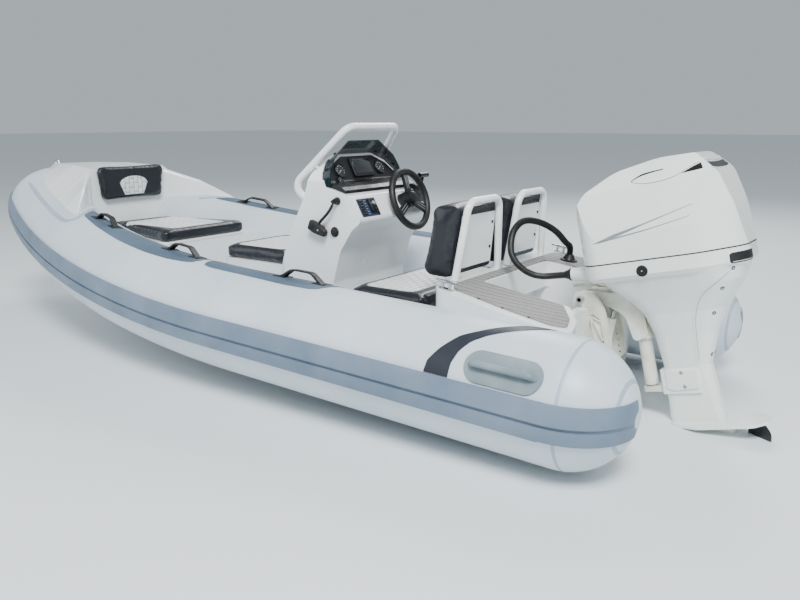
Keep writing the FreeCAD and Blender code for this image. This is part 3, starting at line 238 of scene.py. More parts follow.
def makeFinish(name, values):
    material = bpy.data.materials.new(name)
    material.use_nodes = True
    sheet = Nodes(material)
    tone = sheet.spread(sheet.noise(values["mottle"], 4.0), 0.35, 0.65)
    sheet.put("Base Color", sheet.mix(tone, paint(*values["light"]), paint(*values["dark"])))
    low, high = values["rough"]
    sheet.put("Roughness", sheet.spread(sheet.noise(values["mottle"] * 5, 3.0), 0.3, 0.7, low, high))
    normal = sheet.bump(sheet.noise(values["grain"], 2.0), 1.0, values["depth"] / 1000)
    if "waves" in values:
        normal = sheet.bump(sheet.noise(1.7, 2.0, 0.4), 1.0, values["waves"] / 1000, normal)
    sheet.put("Normal", normal)
    sheet.put("Metallic", values.get("metal", 0.0))
    sheet.put("Coat Weight", values.get("coat", 0.0))
    materials[name] = material


for name, values in finishes.items():
    makeFinish(name, values)
print("finishes ready:", len(materials))


# Dark teal sheet that shows what is behind it
acrylic = {"light": (8, 34, 40), "dark": (4, 24, 30), "haze": 14, "rough": (0.03, 0.09), "alpha": 0.74,
           "bend": 1.49}


def smokedAcrylic(setup):
    material = bpy.data.materials.new("smokedAcrylic")
    material.use_nodes = True
    sheet = Nodes(material)
    haze = sheet.noise(setup["haze"])
    tone = sheet.spread(haze, 0.3, 0.7)
    sheet.put("Base Color", sheet.mix(tone, paint(*setup["light"]), paint(*setup["dark"])))
    sheet.put("Roughness", sheet.spread(haze, 0.3, 0.7, *setup["rough"]))
    sheet.put("Alpha", setup["alpha"])
    sheet.put("IOR", setup["bend"])
    material.blend_method = "BLEND"
    materials["smokedAcrylic"] = material


smokedAcrylic(acrylic)

# Deck covering: grey foam with black grooves that run fore and aft and lie a little fanned
teakSetup = {"pitch": 0.046, "groove": 0.0042, "light": (146, 145, 143), "dark": (120, 119, 118),
             "line": (30, 31, 33), "fanFrom": 0.41, "fan": 0.33, "stretch": (3.0, 60.0, 60.0), "grain": 6.0,
             "rough": (0.62, 0.8), "grooveDepth": 0.0015, "grainDepth": 0.0004}


def deckFoam(setup):
    material = bpy.data.materials.new("deckFoam")
    material.use_nodes = True
    sheet = Nodes(material)
    parts = sheet.add("ShaderNodeSeparateXYZ", {0: sheet.place})
    across = sheet.maths("ABSOLUTE", parts.outputs["Y"])
    ahead = sheet.maths("SUBTRACT", parts.outputs["X"], setup["fanFrom"])
    fanned = sheet.maths("MULTIPLY", sheet.maths("POWER", ahead, 2.0), setup["fan"])
    lane = sheet.maths("ADD", across, fanned)
    phase = sheet.maths("FRACT", sheet.maths("DIVIDE", lane, setup["pitch"]))
    line = sheet.maths("LESS_THAN", phase, setup["groove"] / setup["pitch"])
    stretched = sheet.add("ShaderNodeMapping", {"Vector": sheet.place, "Scale": setup["stretch"]}).outputs[0]
    grain = sheet.noise(setup["grain"], 4.0, where=stretched)
    foam = sheet.mix(sheet.spread(grain, 0.3, 0.7), paint(*setup["light"]), paint(*setup["dark"]))
    sheet.put("Base Color", sheet.mix(line, foam, paint(*setup["line"])))
    sheet.put("Roughness", sheet.spread(grain, 0.3, 0.7, *setup["rough"]))
    groove = sheet.bump(sheet.maths("SUBTRACT", 1.0, line), 1.0, setup["grooveDepth"])
    sheet.put("Normal", sheet.bump(grain, 1.0, setup["grainDepth"], groove))
    materials["deckFoam"] = material


deckFoam(teakSetup)

# Which finish each solid wears
nodeFinish = {
    "tube_port": "tubeFabric", "tube_starboard": "tubeFabric", "tube_bow": "tubeFabric",
    "strake_port": "strakeFabric", "strake_starboard": "strakeFabric", "strake_bow": "strakeFabric",
    "hull": "hullCoat", "transom": "gelcoat", "cockpit_floor": "deckCoat", "aft_deck": "gelcoat",
    "bow_pod": "gelcoat", "bow_locker": "gelcoat", "console": "gelcoat", "bench_base": "gelcoat",
    "front_seat_base": "gelcoat", "bow_lid": "gelcoat", "front_seat_lid": "gelcoat",
    "bench_lid": "gelcoat", "back_plates": "gelcoat", "hoop_port": "railPaint",
    "hoop_starboard": "railPaint", "console_rail": "railPaint", "windscreen": "smokedAcrylic",
    "instrument_panel": "blackPlastic", "throttle": "blackPlastic", "helm_hub": "blackPlastic",
    "steering_wheel": "blackRubber", "hose_gland": "blackRubber", "teak_pads": "deckFoam",
    "bow_cleat": "steel", "stern_cleats": "steel", "grab_pads": "greyRubber",
    "handles_port": "blackRubber", "handles_starboard": "blackRubber", "clamp_brackets": "castPaint",
    "bracket_pins": "steel", "swivel_bracket": "castPaint", "tilt_cylinder": "castPaint",
    "tilt_rod": "steel", "leg_casing": "enginePaint", "gearcase": "enginePaint",
    "lower_pan": "enginePaint", "cowl": "enginePaint", "powerhead": "blackPlastic",
    "steering_arm": "castPaint", "rigging_sleeve": "gelcoat", "propeller": "blackPlastic",
    "hose_fixed": "blackRubber", "hose_moving": "blackRubber",
    "bow_cushion": "blackRubber", "front_seat_cushion": "blackRubber", "bench_cushion": "blackRubber",
    "bow_backrest": "blackRubber", "front_seat_pad": "blackRubber", "back_pads": "blackRubber",
}


def wear(piece, finish):
    piece.data.materials.clear()
    piece.data.materials.append(materials[finish])


# A piece gets its finish and the body that it moves with
def fit(piece, finish, body):
    wear(piece, finish)
    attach(piece, body)


for name, finish in nodeFinish.items():
    wear(nodes[name], finish)

# The buoyancy tube's own path, for what is glued to it
tubeSetup = {"aft": (-0.520, 0.791, 0.270), "rise": 0.04, "straight": 1.897, "arc": 5.620, "lift": 0.431,
             "radius": 0.250, "dome": 0.262, "tip": 0.030}
alongTube = Vector((1, 0, tubeSetup["rise"])).normalized()
inTube = Vector((0, -1, tubeSetup["lift"]))
inTube = (inTube - alongTube * inTube.dot(alongTube)).normalized()
bendAxis = alongTube.cross(inTube)
tubeAft = Vector(tubeSetup["aft"])
bendStart = tubeAft + alongTube * tubeSetup["straight"]
bendCentre = bendStart + inTube * tubeSetup["arc"]


# Centre and heading at a distance from the port tube's aft tip
def tubeCentre(distance):
    if distance <= tubeSetup["straight"]:
        return tubeAft + alongTube * distance, alongTube.copy()
    turn = Matrix.Rotation((distance - tubeSetup["straight"]) / tubeSetup["arc"], 3, bendAxis)
    return bendCentre + turn @ (bendStart - bendCentre), turn @ alongTube


# The tube's radius, which falls along the stern dome
def skinRadius(distance):
    dome, tip, radius = tubeSetup["dome"], tubeSetup["tip"], tubeSetup["radius"]
    if distance >= dome:
        return radius
    bulge = (dome ** 2 + (radius - tip) ** 2) / (2 * (radius - tip))
    return radius - bulge + math.sqrt(bulge ** 2 - (dome - distance) ** 2)


# Point on the tube's skin, degrees up from its outer side, and the way out of it
def onSkin(distance, degrees, lift, side):
    centre, heading = tubeCentre(distance)
    level = Vector((-heading.y, heading.x, 0)).normalized()
    upwards = heading.cross(level)
    turn = math.radians(degrees)
    out = level * math.cos(turn) + upwards * math.sin(turn)
    point = centre + out * (skinRadius(distance) + lift)
    if side < 0:
        point.y, out.y = -point.y, -out.y
    return point, out


# Value at a distance in a table of (distance, value) rows, eased between rows
def between(table, distance):
    if distance <= table[0][0]:
        return table[0][1]
    for (a, first), (b, second) in zip(table, table[1:]):
        if distance <= b:
            return first + (second - first) * (distance - a) / (b - a)
    return table[-1][1]


# Glued patches: lower and upper edge in degrees round the tube, along its length
patches = {
    "leafAft": {"finish": "patchFabric", "steps": (72, 14), "lift": 0.0012, "thick": 0.0012,
                "low": ((1.385, 108), (1.40, 92), (1.43, 80), (1.47, 76.0), (1.62, 74.5), (1.90, 77.0),
                        (2.12, 77.5), (2.17, 80), (2.195, 90), (2.21, 107)),
                "high": ((1.385, 108.1), (2.21, 108.1))},
    "leafFore": {"finish": "patchFabric", "steps": (96, 14), "lift": 0.0012, "thick": 0.0012,
                 "low": ((2.225, 107), (2.235, 90), (2.25, 79), (2.29, 75.5), (2.42, 71.5), (2.62, 70.5),
                         (2.90, 72.5), (3.24, 78), (3.46, 83), (3.55, 90), (3.60, 106)),
                 "high": ((2.225, 107.1), (2.60, 108), (3.60, 108))},
}


def gluedPatch(name, values, side):
    across, up = values["steps"]
    clearSelection()
    bpy.ops.mesh.primitive_grid_add(x_subdivisions=across, y_subdivisions=up, size=1)
    patch = bpy.context.object
    patch.name = name
    start, end = values["low"][0][0], values["low"][-1][0]
    for vertex in patch.data.vertices:
        distance = start + (vertex.co.x + 0.5) * (end - start)
        low, high = between(values["low"], distance), between(values["high"], distance)
        degrees = low + (vertex.co.y + 0.5) * (high - low)
        vertex.co, out = onSkin(distance, degrees, values["lift"], side)
    outwards(patch)
    useModifier(patch, "SOLIDIFY", thickness=values["thick"], offset=1)
    smoothFaces(patch)
    fit(patch, values["finish"], "boat")


for name, values in patches.items():
    for side, word in ((1, "Port"), (-1, "Starboard")):
        gluedPatch(name + word, values, side)

# Dark sweep near each stern: forward and aft edge, along the angle
sweep = {"finish": "darkFabric", "steps": (40, 8), "lift": 0.0012, "thick": 0.0012,
         "aft": ((17.5, 0.640), (30, 0.640), (42, 0.625), (53, 0.597), (63, 0.550), (74, 0.487),
                 (84, 0.430), (94, 0.385), (104, 0.350)),
         "fore": ((17.5, 0.745), (28, 0.740), (41, 0.705), (57, 0.650), (68, 0.585), (84, 0.500),
                  (96, 0.445), (104, 0.400))}


def sternSweep(side, word):
    up, across = sweep["steps"]
    clearSelection()
    bpy.ops.mesh.primitive_grid_add(x_subdivisions=up, y_subdivisions=across, size=1)
    band = bpy.context.object
    band.name = "sternSweep" + word
    first, last = sweep["aft"][0][0], sweep["aft"][-1][0]
    for vertex in band.data.vertices:
        degrees = first + (vertex.co.x + 0.5) * (last - first)
        aft, fore = between(sweep["aft"], degrees), between(sweep["fore"], degrees)
        distance = aft + (vertex.co.y + 0.5) * (fore - aft)
        vertex.co, out = onSkin(distance, degrees, sweep["lift"], side)
    outwards(band)
    useModifier(band, "SOLIDIFY", thickness=sweep["thick"], offset=1)
    smoothFaces(band)
    fit(band, sweep["finish"], "boat")


for side, word in ((1, "Port"), (-1, "Starboard")):
    sternSweep(side, word)

# Welded seams round the tube: place along it, width, first and last degree
seams = {"tip": {"at": 0.040, "wide": 0.010, "from": 18, "to": 344},
         "dome": {"at": 0.212, "wide": 0.012, "from": 18, "to": 344}}


def weldedSeam(name, values, side):
    clearSelection()
    bpy.ops.mesh.primitive_grid_add(x_subdivisions=90, y_subdivisions=4, size=1)
    band = bpy.context.object
    band.name = name
    for vertex in band.data.vertices:
        degrees = values["from"] + (vertex.co.x + 0.5) * (values["to"] - values["from"])
        edge = 1 - (2 * abs(vertex.co.y)) ** 4
        distance = values["at"] + vertex.co.y * values["wide"]
        vertex.co, out = onSkin(distance, degrees, 0.0003 + 0.0009 * edge, side)
    outwards(band)
    useModifier(band, "SOLIDIFY", thickness=0.0006, offset=-1)
    smoothFaces(band)
    fit(band, "seamTape", "boat")


for name, values in seams.items():
    for side, word in ((1, "Port"), (-1, "Starboard")):
        weldedSeam(name + "Seam" + word, values, side)
print("tube patches and seams glued on")

# Upholstery: dark vinyl with a light panel of quilted bars, in each pad's own place
padSetups = {
    "bow_cushion": {
        "body": "bow_lid", "voxel": 0.010, "swell": 0.007, "up": (0, 0, 1), "flat": "XY",
        "centre": (2.850, 0.0), "half": (0.255, 0.215), "corner": 0.05, "shape": "round"},
    "front_seat_cushion": {
        "body": "front_seat_lid", "voxel": 0.009, "swell": 0.007, "up": (0, 0, 1), "flat": "XY",
        "centre": (1.868, 0.0), "half": (0.190, 0.215), "corner": 0.05, "shape": "round"},
    "bench_cushion": {
        "body": "bench_lid", "voxel": 0.011, "swell": 0.007, "up": (0, 0, 1), "flat": "XY",
        "centre": (0.850, 0.0), "half": (0.150, 0.385), "corner": 0.05, "shape": "round"},
    "bow_backrest": {
        "body": "boat", "voxel": 0.007, "swell": 0.005, "up": (-1, 0, 0), "flat": "YZ",
        "centre": (0.0, 0.880), "half": (0.109, 0.049), "corner": 0.074, "flare": 0.46, "shape": "arch"},
    "front_seat_pad": {
        "body": "boat", "voxel": 0.007, "swell": 0.005, "up": (0.9, 0, 0.43), "shape": "none"},
    "back_pads": {
        "body": "boat", "voxel": 0.008, "swell": 0.007, "up": (1, 0, 0.1), "shape": "none"},
}
vinyl = {"border": (17, 20, 31), "borderDark": (9, 11, 19), "panel": (226, 229, 228),
         "panelDark": (208, 213, 213), "thread": (120, 127, 131)}
quilt = {"bar": 0.062, "row": 0.034, "line": 0.0042, "soft": 0.0062, "depth": 0.0042, "flat": 0.6,
         "reach": 0.012, "rim": 0.0030, "rimSoft": 0.005, "rise": 0.008}
padding = {"quality": 2, "pressure": 4, "frames": 12, "cap": 1.6, "fill": 0.9}


# 1 inside the light panel, 0 outside it, as shader nodes
def panelMask(sheet, values):
    parts = sheet.add("ShaderNodeSeparateXYZ", {0: sheet.place})
    first = sheet.maths("SUBTRACT", parts.outputs[values["flat"][0]], values["centre"][0])
    second = sheet.maths("SUBTRACT", parts.outputs[values["flat"][1]], values["centre"][1])
    halfA, halfB = values["half"]
    if values["shape"] == "arch":
        up = sheet.maths("DIVIDE", second, halfB)
        rise = sheet.maths("MINIMUM", sheet.maths("MAXIMUM", up, 0.0), 1.0)
        curved = sheet.maths("SQRT", sheet.maths("SUBTRACT", 1.0, sheet.maths("MULTIPLY", rise, rise)))
        upper = sheet.maths("MULTIPLY", curved, halfA)
        lower = sheet.maths("ADD", sheet.maths("MULTIPLY", second, values["flare"]), halfA)
        edge = sheet.maths("SUBTRACT", sheet.maths("MINIMUM", upper, lower), sheet.maths("ABSOLUTE", first))
        foot = sheet.maths("ADD", second, values["corner"])
        inside = sheet.maths("GREATER_THAN", sheet.maths("MINIMUM", edge, foot), 0.0)
    else:
        overs = []
        for away, half in ((first, halfA), (second, halfB)):
            over = sheet.maths("SUBTRACT", sheet.maths("ABSOLUTE", away), half - values["corner"])
            overs.append(sheet.maths("POWER", sheet.maths("MAXIMUM", over, 0.0), 2.0))
        reach = sheet.maths("SQRT", sheet.maths("ADD", overs[0], overs[1]))
        inside = sheet.maths("LESS_THAN", reach, values["corner"])
    side = sheet.add("ShaderNodeSeparateXYZ", {0: sheet.add("ShaderNodeNewGeometry").outputs["Normal"]})
    facing = side.outputs["X"] if values["flat"] == "YZ" else side.outputs["Z"]
    facing = sheet.maths("MULTIPLY", facing, values["up"][0] or values["up"][2])
    return sheet.maths("MULTIPLY", inside, sheet.maths("GREATER_THAN", facing, 0.25)), first, second


def vinylMaterial(name, values):
    material = bpy.data.materials.new(name + "Vinyl")
    material.use_nodes = True
    sheet = Nodes(material)
    tone = sheet.spread(sheet.noise(5, 3.0), 0.3, 0.7)
    colour = sheet.mix(tone, paint(*vinyl["border"]), paint(*vinyl["borderDark"]))
    if values["shape"] != "none":
        inside, first, second = panelMask(sheet, values)
        place = sheet.add("ShaderNodeCombineXYZ", {0: second, 1: first, 2: 0.0}).outputs[0]
        bars = {"Vector": place, "Scale": 1.0, "Mortar Size": quilt["line"] / 2, "Mortar Smooth": 0.4,
                "Brick Width": quilt["bar"], "Row Height": quilt["row"]}
        bricks = sheet.add("ShaderNodeTexBrick", bars).outputs["Fac"]
        light = sheet.mix(tone, paint(*vinyl["panel"]), paint(*vinyl["panelDark"]))
        light = sheet.mix(bricks, light, paint(*vinyl["thread"]))
        colour = sheet.mix(inside, colour, light)
    sheet.put("Base Color", colour)
    sheet.put("Roughness", sheet.spread(sheet.noise(30, 3.0), 0.3, 0.7, 0.28, 0.42))
    cells = sheet.add("ShaderNodeTexVoronoi", {"Vector": sheet.place, "Scale": 420.0}).outputs["Distance"]
    sheet.put("Normal", sheet.bump(cells, 0.6, 0.0003))
    sheet.put("Coat Weight", 0.15)
    materials[name] = material


# Distance inside the light panel's edge, and the place within it
def inPanel(values, point):
    places = {"X": point.x, "Y": point.y, "Z": point.z}
    first = places[values["flat"][0]] - values["centre"][0]
    second = places[values["flat"][1]] - values["centre"][1]
    halfA, halfB = values["half"]
    if values["shape"] == "arch":
        rise = min(max(second / halfB, 0), 1)
        edge = min(halfA * math.sqrt(1 - rise ** 2), halfA + values["flare"] * second) - abs(first)
        return min(edge, second + values["corner"]), first, second
    overA = max(abs(first) - halfA + values["corner"], 0)
    overB = max(abs(second) - halfB + values["corner"], 0)
    return values["corner"] - math.hypot(overA, overB), first, second


# How near a point of the panel is to a line between its bars, 0 to 1
def groove(first, second):
    row = first / quilt["row"]
    across = second / quilt["bar"] + (0 if math.floor(row) % 2 else 0.5)
    gapA = min(row % 1, 1 - row % 1) * quilt["row"]
    gapB = min(across % 1, 1 - across % 1) * quilt["bar"]
    return math.exp(-(min(gapA, gapB) / quilt["soft"]) ** 2)


# Simulated cloth under pressure, with a cap on how far a point may move
def inflate(pad, cap):
    start = [vertex.co.copy() for vertex in pad.data.vertices]
    cloth = pad.modifiers.new("cloth", "CLOTH")
    cloth.settings.quality = padding["quality"]
    cloth.settings.use_pressure = True
    cloth.settings.uniform_pressure_force = padding["pressure"]
    cloth.settings.effector_weights.gravity = 0
    cloth.point_cache.frame_start = 1
    cloth.point_cache.frame_end = padding["frames"]
    for number in range(1, padding["frames"] + 1):
        bpy.context.scene.frame_set(number)
    pick(pad)
    bpy.ops.object.modifier_apply(modifier=cloth.name)
    bpy.context.scene.frame_set(1)
    for vertex, old in zip(pad.data.vertices, start):
        move = vertex.co - old
        if move.length > cap:
            vertex.co = old + move * (cap / move.length)


# Copy of a pad's solid that is shrunk, rounded, swollen again and quilted
def upholster(name, values):
    pad = copyPiece(nodes[name], name.replace("_", "") + "Soft")
    pad.parent = None
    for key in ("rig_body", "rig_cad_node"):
        if key in pad:
            del pad[key]
    outwards(pad)
    for vertex, normal in [(v, v.normal.copy()) for v in pad.data.vertices]:
        vertex.co -= normal * values["swell"]
    useModifier(pad, "REMESH", mode="VOXEL", voxel_size=values["voxel"])
    useModifier(pad, "SMOOTH", factor=0.5, iterations=6)
    inflate(pad, values["swell"] * padding["cap"])
    upwards = Vector(values["up"]).normalized()
    useModifier(pad, "SUBSURF", levels=1, render_levels=1)
    for vertex, facing in [(v, v.normal.dot(upwards)) for v in pad.data.vertices]:
        if values["shape"] == "none" or facing < quilt["flat"]:
            continue
        inside, first, second = inPanel(values, vertex.co)
        if inside < -quilt["reach"]:
            continue
        drop = quilt["rim"] * math.exp(-(inside / quilt["rimSoft"]) ** 2)
        if inside > 0:
            drop += quilt["depth"] * groove(first, second) * min(inside / quilt["rise"], 1)
        vertex.co -= upwards * drop
    smoothFaces(pad, 60)
    vinylMaterial(name, values)
    fit(pad, name, values["body"])
    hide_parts(name)


for name, values in padSetups.items():
    upholster(name, values)
print("pads upholstered")

# Rigging hose: one smooth line from the deck's gland to the outboard, cut in three at given shares of its
# length; only the deck end is attached to a body, the boat
hoseSetup = {"radius": 0.015, "ridge": 0.0011, "pitch": 0.0042, "around": 20,
             "route": ((0.2776, -0.440, 0.5905), (0.2684, -0.440, 0.6549), (0.252, -0.335, 0.684),
                       (0.262, -0.240, 0.755), (0.295, -0.130, 0.810), (0.332, -0.010, 0.835),
                       (0.340, 0.080, 0.800), (0.334, 0.124, 0.742), (0.318, 0.146, 0.684),
                       (0.272, 0.136, 0.625), (0.205, 0.094, 0.586), (0.1117, 0.060, 0.5992),
                       (0.0477, 0.060, 0.6106)),
             "cuts": (0.50, 0.83)}


# Points along the smooth line that the route's points steer
def splineLine(route, steps=12):
    curve = bpy.data.curves.new("route", "CURVE")
    curve.dimensions = "3D"
    curve.resolution_u = steps
    spline = curve.splines.new("NURBS")
    spline.points.add(len(route) - 1)
    for point, place in zip(spline.points, route):
        point.co = (*place, 1)
    spline.order_u = 3
    spline.use_endpoint_u = True
    guide = bpy.data.objects.new("route", curve)
    bpy.context.scene.collection.objects.link(guide)
    mesh = bpy.data.meshes.new_from_object(guide)
    line = [vertex.co.copy() for vertex in mesh.vertices]
    bpy.data.objects.remove(guide)
    bpy.data.meshes.remove(mesh)
    return line


# The same line with points at even gaps
def evenly(line, gap):
    lengths = [0.0]
    for a, b in zip(line, line[1:]):
        lengths.append(lengths[-1] + (b - a).length)
    count = max(2, round(lengths[-1] / gap))
    points = []
    j = 0
    for i in range(count + 1):
        want = lengths[-1] * i / count
        while j < len(line) - 2 and lengths[j + 1] < want:
            j += 1
        share = (want - lengths[j]) / max(lengths[j + 1] - lengths[j], 1e-9)
        points.append(line[j].lerp(line[j + 1], min(max(share, 0), 1)))
    return points


def lineLength(line):
    return sum((b - a).length for a, b in zip(line, line[1:]))


# Closed mesh tube along a line, a ring to each point
def tubeAlong(name, line, radii, around):
    vertices, faces = [], []
    heading = (line[1] - line[0]).normalized()
    side = heading.orthogonal().normalized()
    for i, point in enumerate(line):
        ahead = line[min(i + 1, len(line) - 1)] - line[max(i - 1, 0)]
        ahead.normalize()
        side = (side - ahead * side.dot(ahead)).normalized()
        other = ahead.cross(side)
        for j in range(around):
            turn = 2 * math.pi * j / around
            vertices.append(point + (side * math.cos(turn) + other * math.sin(turn)) * radii[i])
        if i:
            for j in range(around):
                a, b = (i - 1) * around + j, (i - 1) * around + (j + 1) % around
                faces.append((a, b, b + around, a + around))
    faces.append(tuple(reversed(range(around))))
    last = (len(line) - 1) * around
    faces.append(tuple(range(last, last + around)))
    mesh = bpy.data.meshes.new(name)
    mesh.from_pydata([tuple(v) for v in vertices], [], faces)
    tube = bpy.data.objects.new(name, mesh)
    bpy.context.scene.collection.objects.link(tube)
    for face in mesh.polygons:
        face.use_smooth = len(face.vertices) == 4
    return tube


def riggingHose():
    line = evenly(splineLine(hoseSetup["route"], 24), hoseSetup["pitch"] / 2)
    cuts = [0] + [round(share * (len(line) - 1)) for share in hoseSetup["cuts"]] + [len(line) - 1]
    hoses = []
    for number, name in enumerate(("hoseDeckEnd", "hoseLoop", "hoseEngineEnd")):
        part = line[cuts[number]:cuts[number + 1] + 1]
        radius, ridge = hoseSetup["radius"], hoseSetup["ridge"]
        radii = [radius + (ridge if (i + cuts[number]) % 2 else -ridge) for i in range(len(part))]
        hose = tubeAlong(name, part, radii, hoseSetup["around"])
        wear(hose, "blackRubber")
        hoses.append((hose, part))
    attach(hoses[0][0], "boat")
    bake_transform(hoses[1][0])
    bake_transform(hoses[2][0])
    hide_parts("hose_fixed")
    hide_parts("hose_moving")
    print("hose lengths", [round(lineLength(part), 3) for hose, part in hoses])


riggingHose()

# Small pieces that are screwed, glued or moulded on


# An open sheet is turned so that its faces look the way out
def faceOut(piece, out):
    total = Vector((0, 0, 0))
    for face in piece.data.polygons:
        total += face.normal * face.area
    if total.dot(Vector(out)) < 0:
        pick(piece)
        bpy.ops.object.mode_set(mode="EDIT")
        bpy.ops.mesh.select_all(action="SELECT")
        bpy.ops.mesh.flip_normals()
        bpy.ops.object.mode_set(mode="OBJECT")


# Local X runs along first, local Y along second, and local Z looks out
def stand(piece, spot, first, second):
    along = Vector(first).normalized()
    out = along.cross(Vector(second)).normalized()
    turn = Matrix((along, out.cross(along), out)).transposed().to_4x4()
    piece.matrix_world = Matrix.Translation(Vector(spot)) @ turn
    settle(piece)


def joined(pieces, name):
    clearSelection()
    for piece in pieces:
        piece.select_set(True)
    bpy.context.view_layer.objects.active = pieces[0]
    if len(pieces) > 1:
        bpy.ops.object.join()
    pieces[0].name = name
    return pieces[0]


# Flat plate with an outline in its own X and Y, standing on Z = 0
def plate(name, loop, thick, edge, corner=0.0, corners=4):
    clearSelection()
    bpy.ops.mesh.primitive_circle_add(vertices=len(loop), radius=1, fill_type="NGON")
    piece = bpy.context.object
    piece.name = name
    for vertex, (a, b) in zip(piece.data.vertices, loop):
        vertex.co = (a, b, 0)
    bpy.ops.object.mode_set(mode="EDIT")
    bpy.ops.mesh.select_all(action="SELECT")
    if corner:
        bpy.ops.mesh.bevel(offset=corner, offset_type="OFFSET", affect="VERTICES", segments=corners)
        bpy.ops.mesh.select_all(action="SELECT")
    bpy.ops.mesh.extrude_region_move(TRANSFORM_OT_translate={"value": (0, 0, thick)})
    bpy.ops.object.mode_set(mode="OBJECT")
    outwards(piece)
    if edge:
        useModifier(piece, "BEVEL", width=edge, segments=3, limit_method="ANGLE",
                    angle_limit=math.radians(40))
    smoothFaces(piece, 40)
    return piece


def oblong(wide, high):
    return ((-wide / 2, -high / 2), (wide / 2, -high / 2), (wide / 2, high / 2), (-wide / 2, high / 2))


# Round piece: rings of (radius, height) one above another, closed at both ends
def turned(name, profile, around=24):
    clearSelection()
    bpy.ops.mesh.primitive_circle_add(vertices=around, radius=profile[0][0], fill_type="NGON")
    piece = bpy.context.object
    piece.name = name
    bpy.ops.object.mode_set(mode="EDIT")
    bpy.ops.mesh.select_all(action="SELECT")
    last = profile[0]
    for radius, height in profile[1:]:
        bpy.ops.mesh.extrude_region_move(TRANSFORM_OT_translate={"value": (0, 0, height - last[1])})
        grow = radius / last[0]
        bpy.ops.transform.resize(value=(grow, grow, 1), center_override=(0, 0, height))
        last = (radius, height)
    bpy.ops.object.mode_set(mode="OBJECT")
    for vertex in piece.data.vertices:
        vertex.co.z += profile[0][1]
    outwards(piece)
    smoothFaces(piece, 32)
    return piece


# Copies of one model, each on its spot with its way out, joined into one piece
def spread(model, name, spots, finish, body):
    copies = []
    for spot, out in spots:
        out = Vector(out).normalized()
        first = Vector((0, 0, 1)).cross(out)
        if first.length < 0.2:
            first = Vector((1, 0, 0)).cross(out)
        copy = copyPiece(model, name)
        stand(copy, spot, first, out.cross(first))
        copies.append(copy)
    bpy.data.objects.remove(model)
    fit(joined(copies, name), finish, body)


def capScrew(radius, tall):
    return turned("screw", ((radius, 0), (radius, tall * 0.7), (radius * 0.82, tall), (radius * 0.42, tall),
                            (radius * 0.38, tall * 0.45)), 16)


# The engine's own frame, in millimetres from the tilt axis, turned by its trim
engineSetup = {"place": (-0.016, 0.0, 0.512), "trim": 13.0, "seam": 148.0, "beside": 300.0}
engineTurn = Matrix.Rotation(math.radians(engineSetup["trim"]), 3, "Y")


def onEngine(x, y, z):
    return engineTurn @ (Vector((x, y, z)) / 1000) + Vector(engineSetup["place"])


def engineWay(x, y, z):
    return engineTurn @ Vector((x, y, z))


# First skin that a line meets, of the named solids
def hit(names, origin, way):
    best = None
    for name in names:
        found, spot, normal, index = nodes[name].ray_cast(origin, way)
        if found and (best is None or (spot - origin).length < (best[0] - origin).length):
            best = (spot, normal if normal.dot(way) < 0 else -normal)
    return best


def nearest(names, point):
    best = None
    for name in names:
        found, spot, normal, index = nodes[name].closest_point_on_mesh(point)
        if found and (best is None or (spot - point).length < (best[0] - point).length):
            best = (spot, normal)
    return best


# Narrow strip laid on the skin along a line. Its widths run from its start to its end
def ribbon(name, names, line, widths, lift, thick, finish, body, gap=0.006, across=3):
    points = evenly(splineLine(line), gap)
    clearSelection()
    bpy.ops.mesh.primitive_grid_add(x_subdivisions=len(points) - 1, y_subdivisions=across, size=1)
    strip = bpy.context.object
    strip.name = name
    rows = across + 1
    total = Vector((0, 0, 0))
    count = len(points)
    order = sorted(range(len(strip.data.vertices)),
                   key=lambda i: (round(strip.data.vertices[i].co.x, 6), strip.data.vertices[i].co.y))
    for place, index in enumerate(order):
        i, j = divmod(place, rows)
        share = i / (count - 1)
        wide = between(widths, share)
        spot, normal = nearest(names, points[i])
        ahead = points[min(i + 1, count - 1)] - points[max(i - 1, 0)]
        sideways = normal.cross(ahead).normalized()
        guess = spot + sideways * (j / across - 0.5) * wide
        settled, out = nearest(names, guess)
        strip.data.vertices[index].co = settled + out * lift
        total += out
    faceOut(strip, total)
    useModifier(strip, "SOLIDIFY", thickness=thick, offset=1)
    smoothFaces(strip, 50)
    fit(strip, finish, body)


# Place on the engine's flank, seen straight from the side, with its way out
def onFlank(name, a, b, side):
    return hit((name,), onEngine(a, side * engineSetup["beside"], b), engineWay(0, -side, 0))


# Panel on the engine's flank: lower and upper edge as heights along its length
def sidePatch(name, solid, values, finish, side):
    across, up = values["steps"]
    clearSelection()
    bpy.ops.mesh.primitive_grid_add(x_subdivisions=across, y_subdivisions=up, size=1)
    panel = bpy.context.object
    panel.name = name
    start, end = values["low"][0][0], values["low"][-1][0]
    for vertex in panel.data.vertices:
        a = start + (vertex.co.x + 0.5) * (end - start)
        bottom, top = between(values["low"], a), between(values["high"], a)
        b = bottom + (vertex.co.y + 0.5) * (top - bottom)
        spot, out = onFlank(solid, a, b, side)
        vertex.co = spot + out * values["lift"]
    faceOut(panel, engineWay(0, side, 0))
    useModifier(panel, "SOLIDIFY", thickness=values["thick"], offset=1)
    useModifier(panel, "BEVEL", width=values["edge"], segments=2, limit_method="ANGLE",
                angle_limit=math.radians(50))
    smoothFaces(panel, 40)
    fit(panel, finish, "outboard")


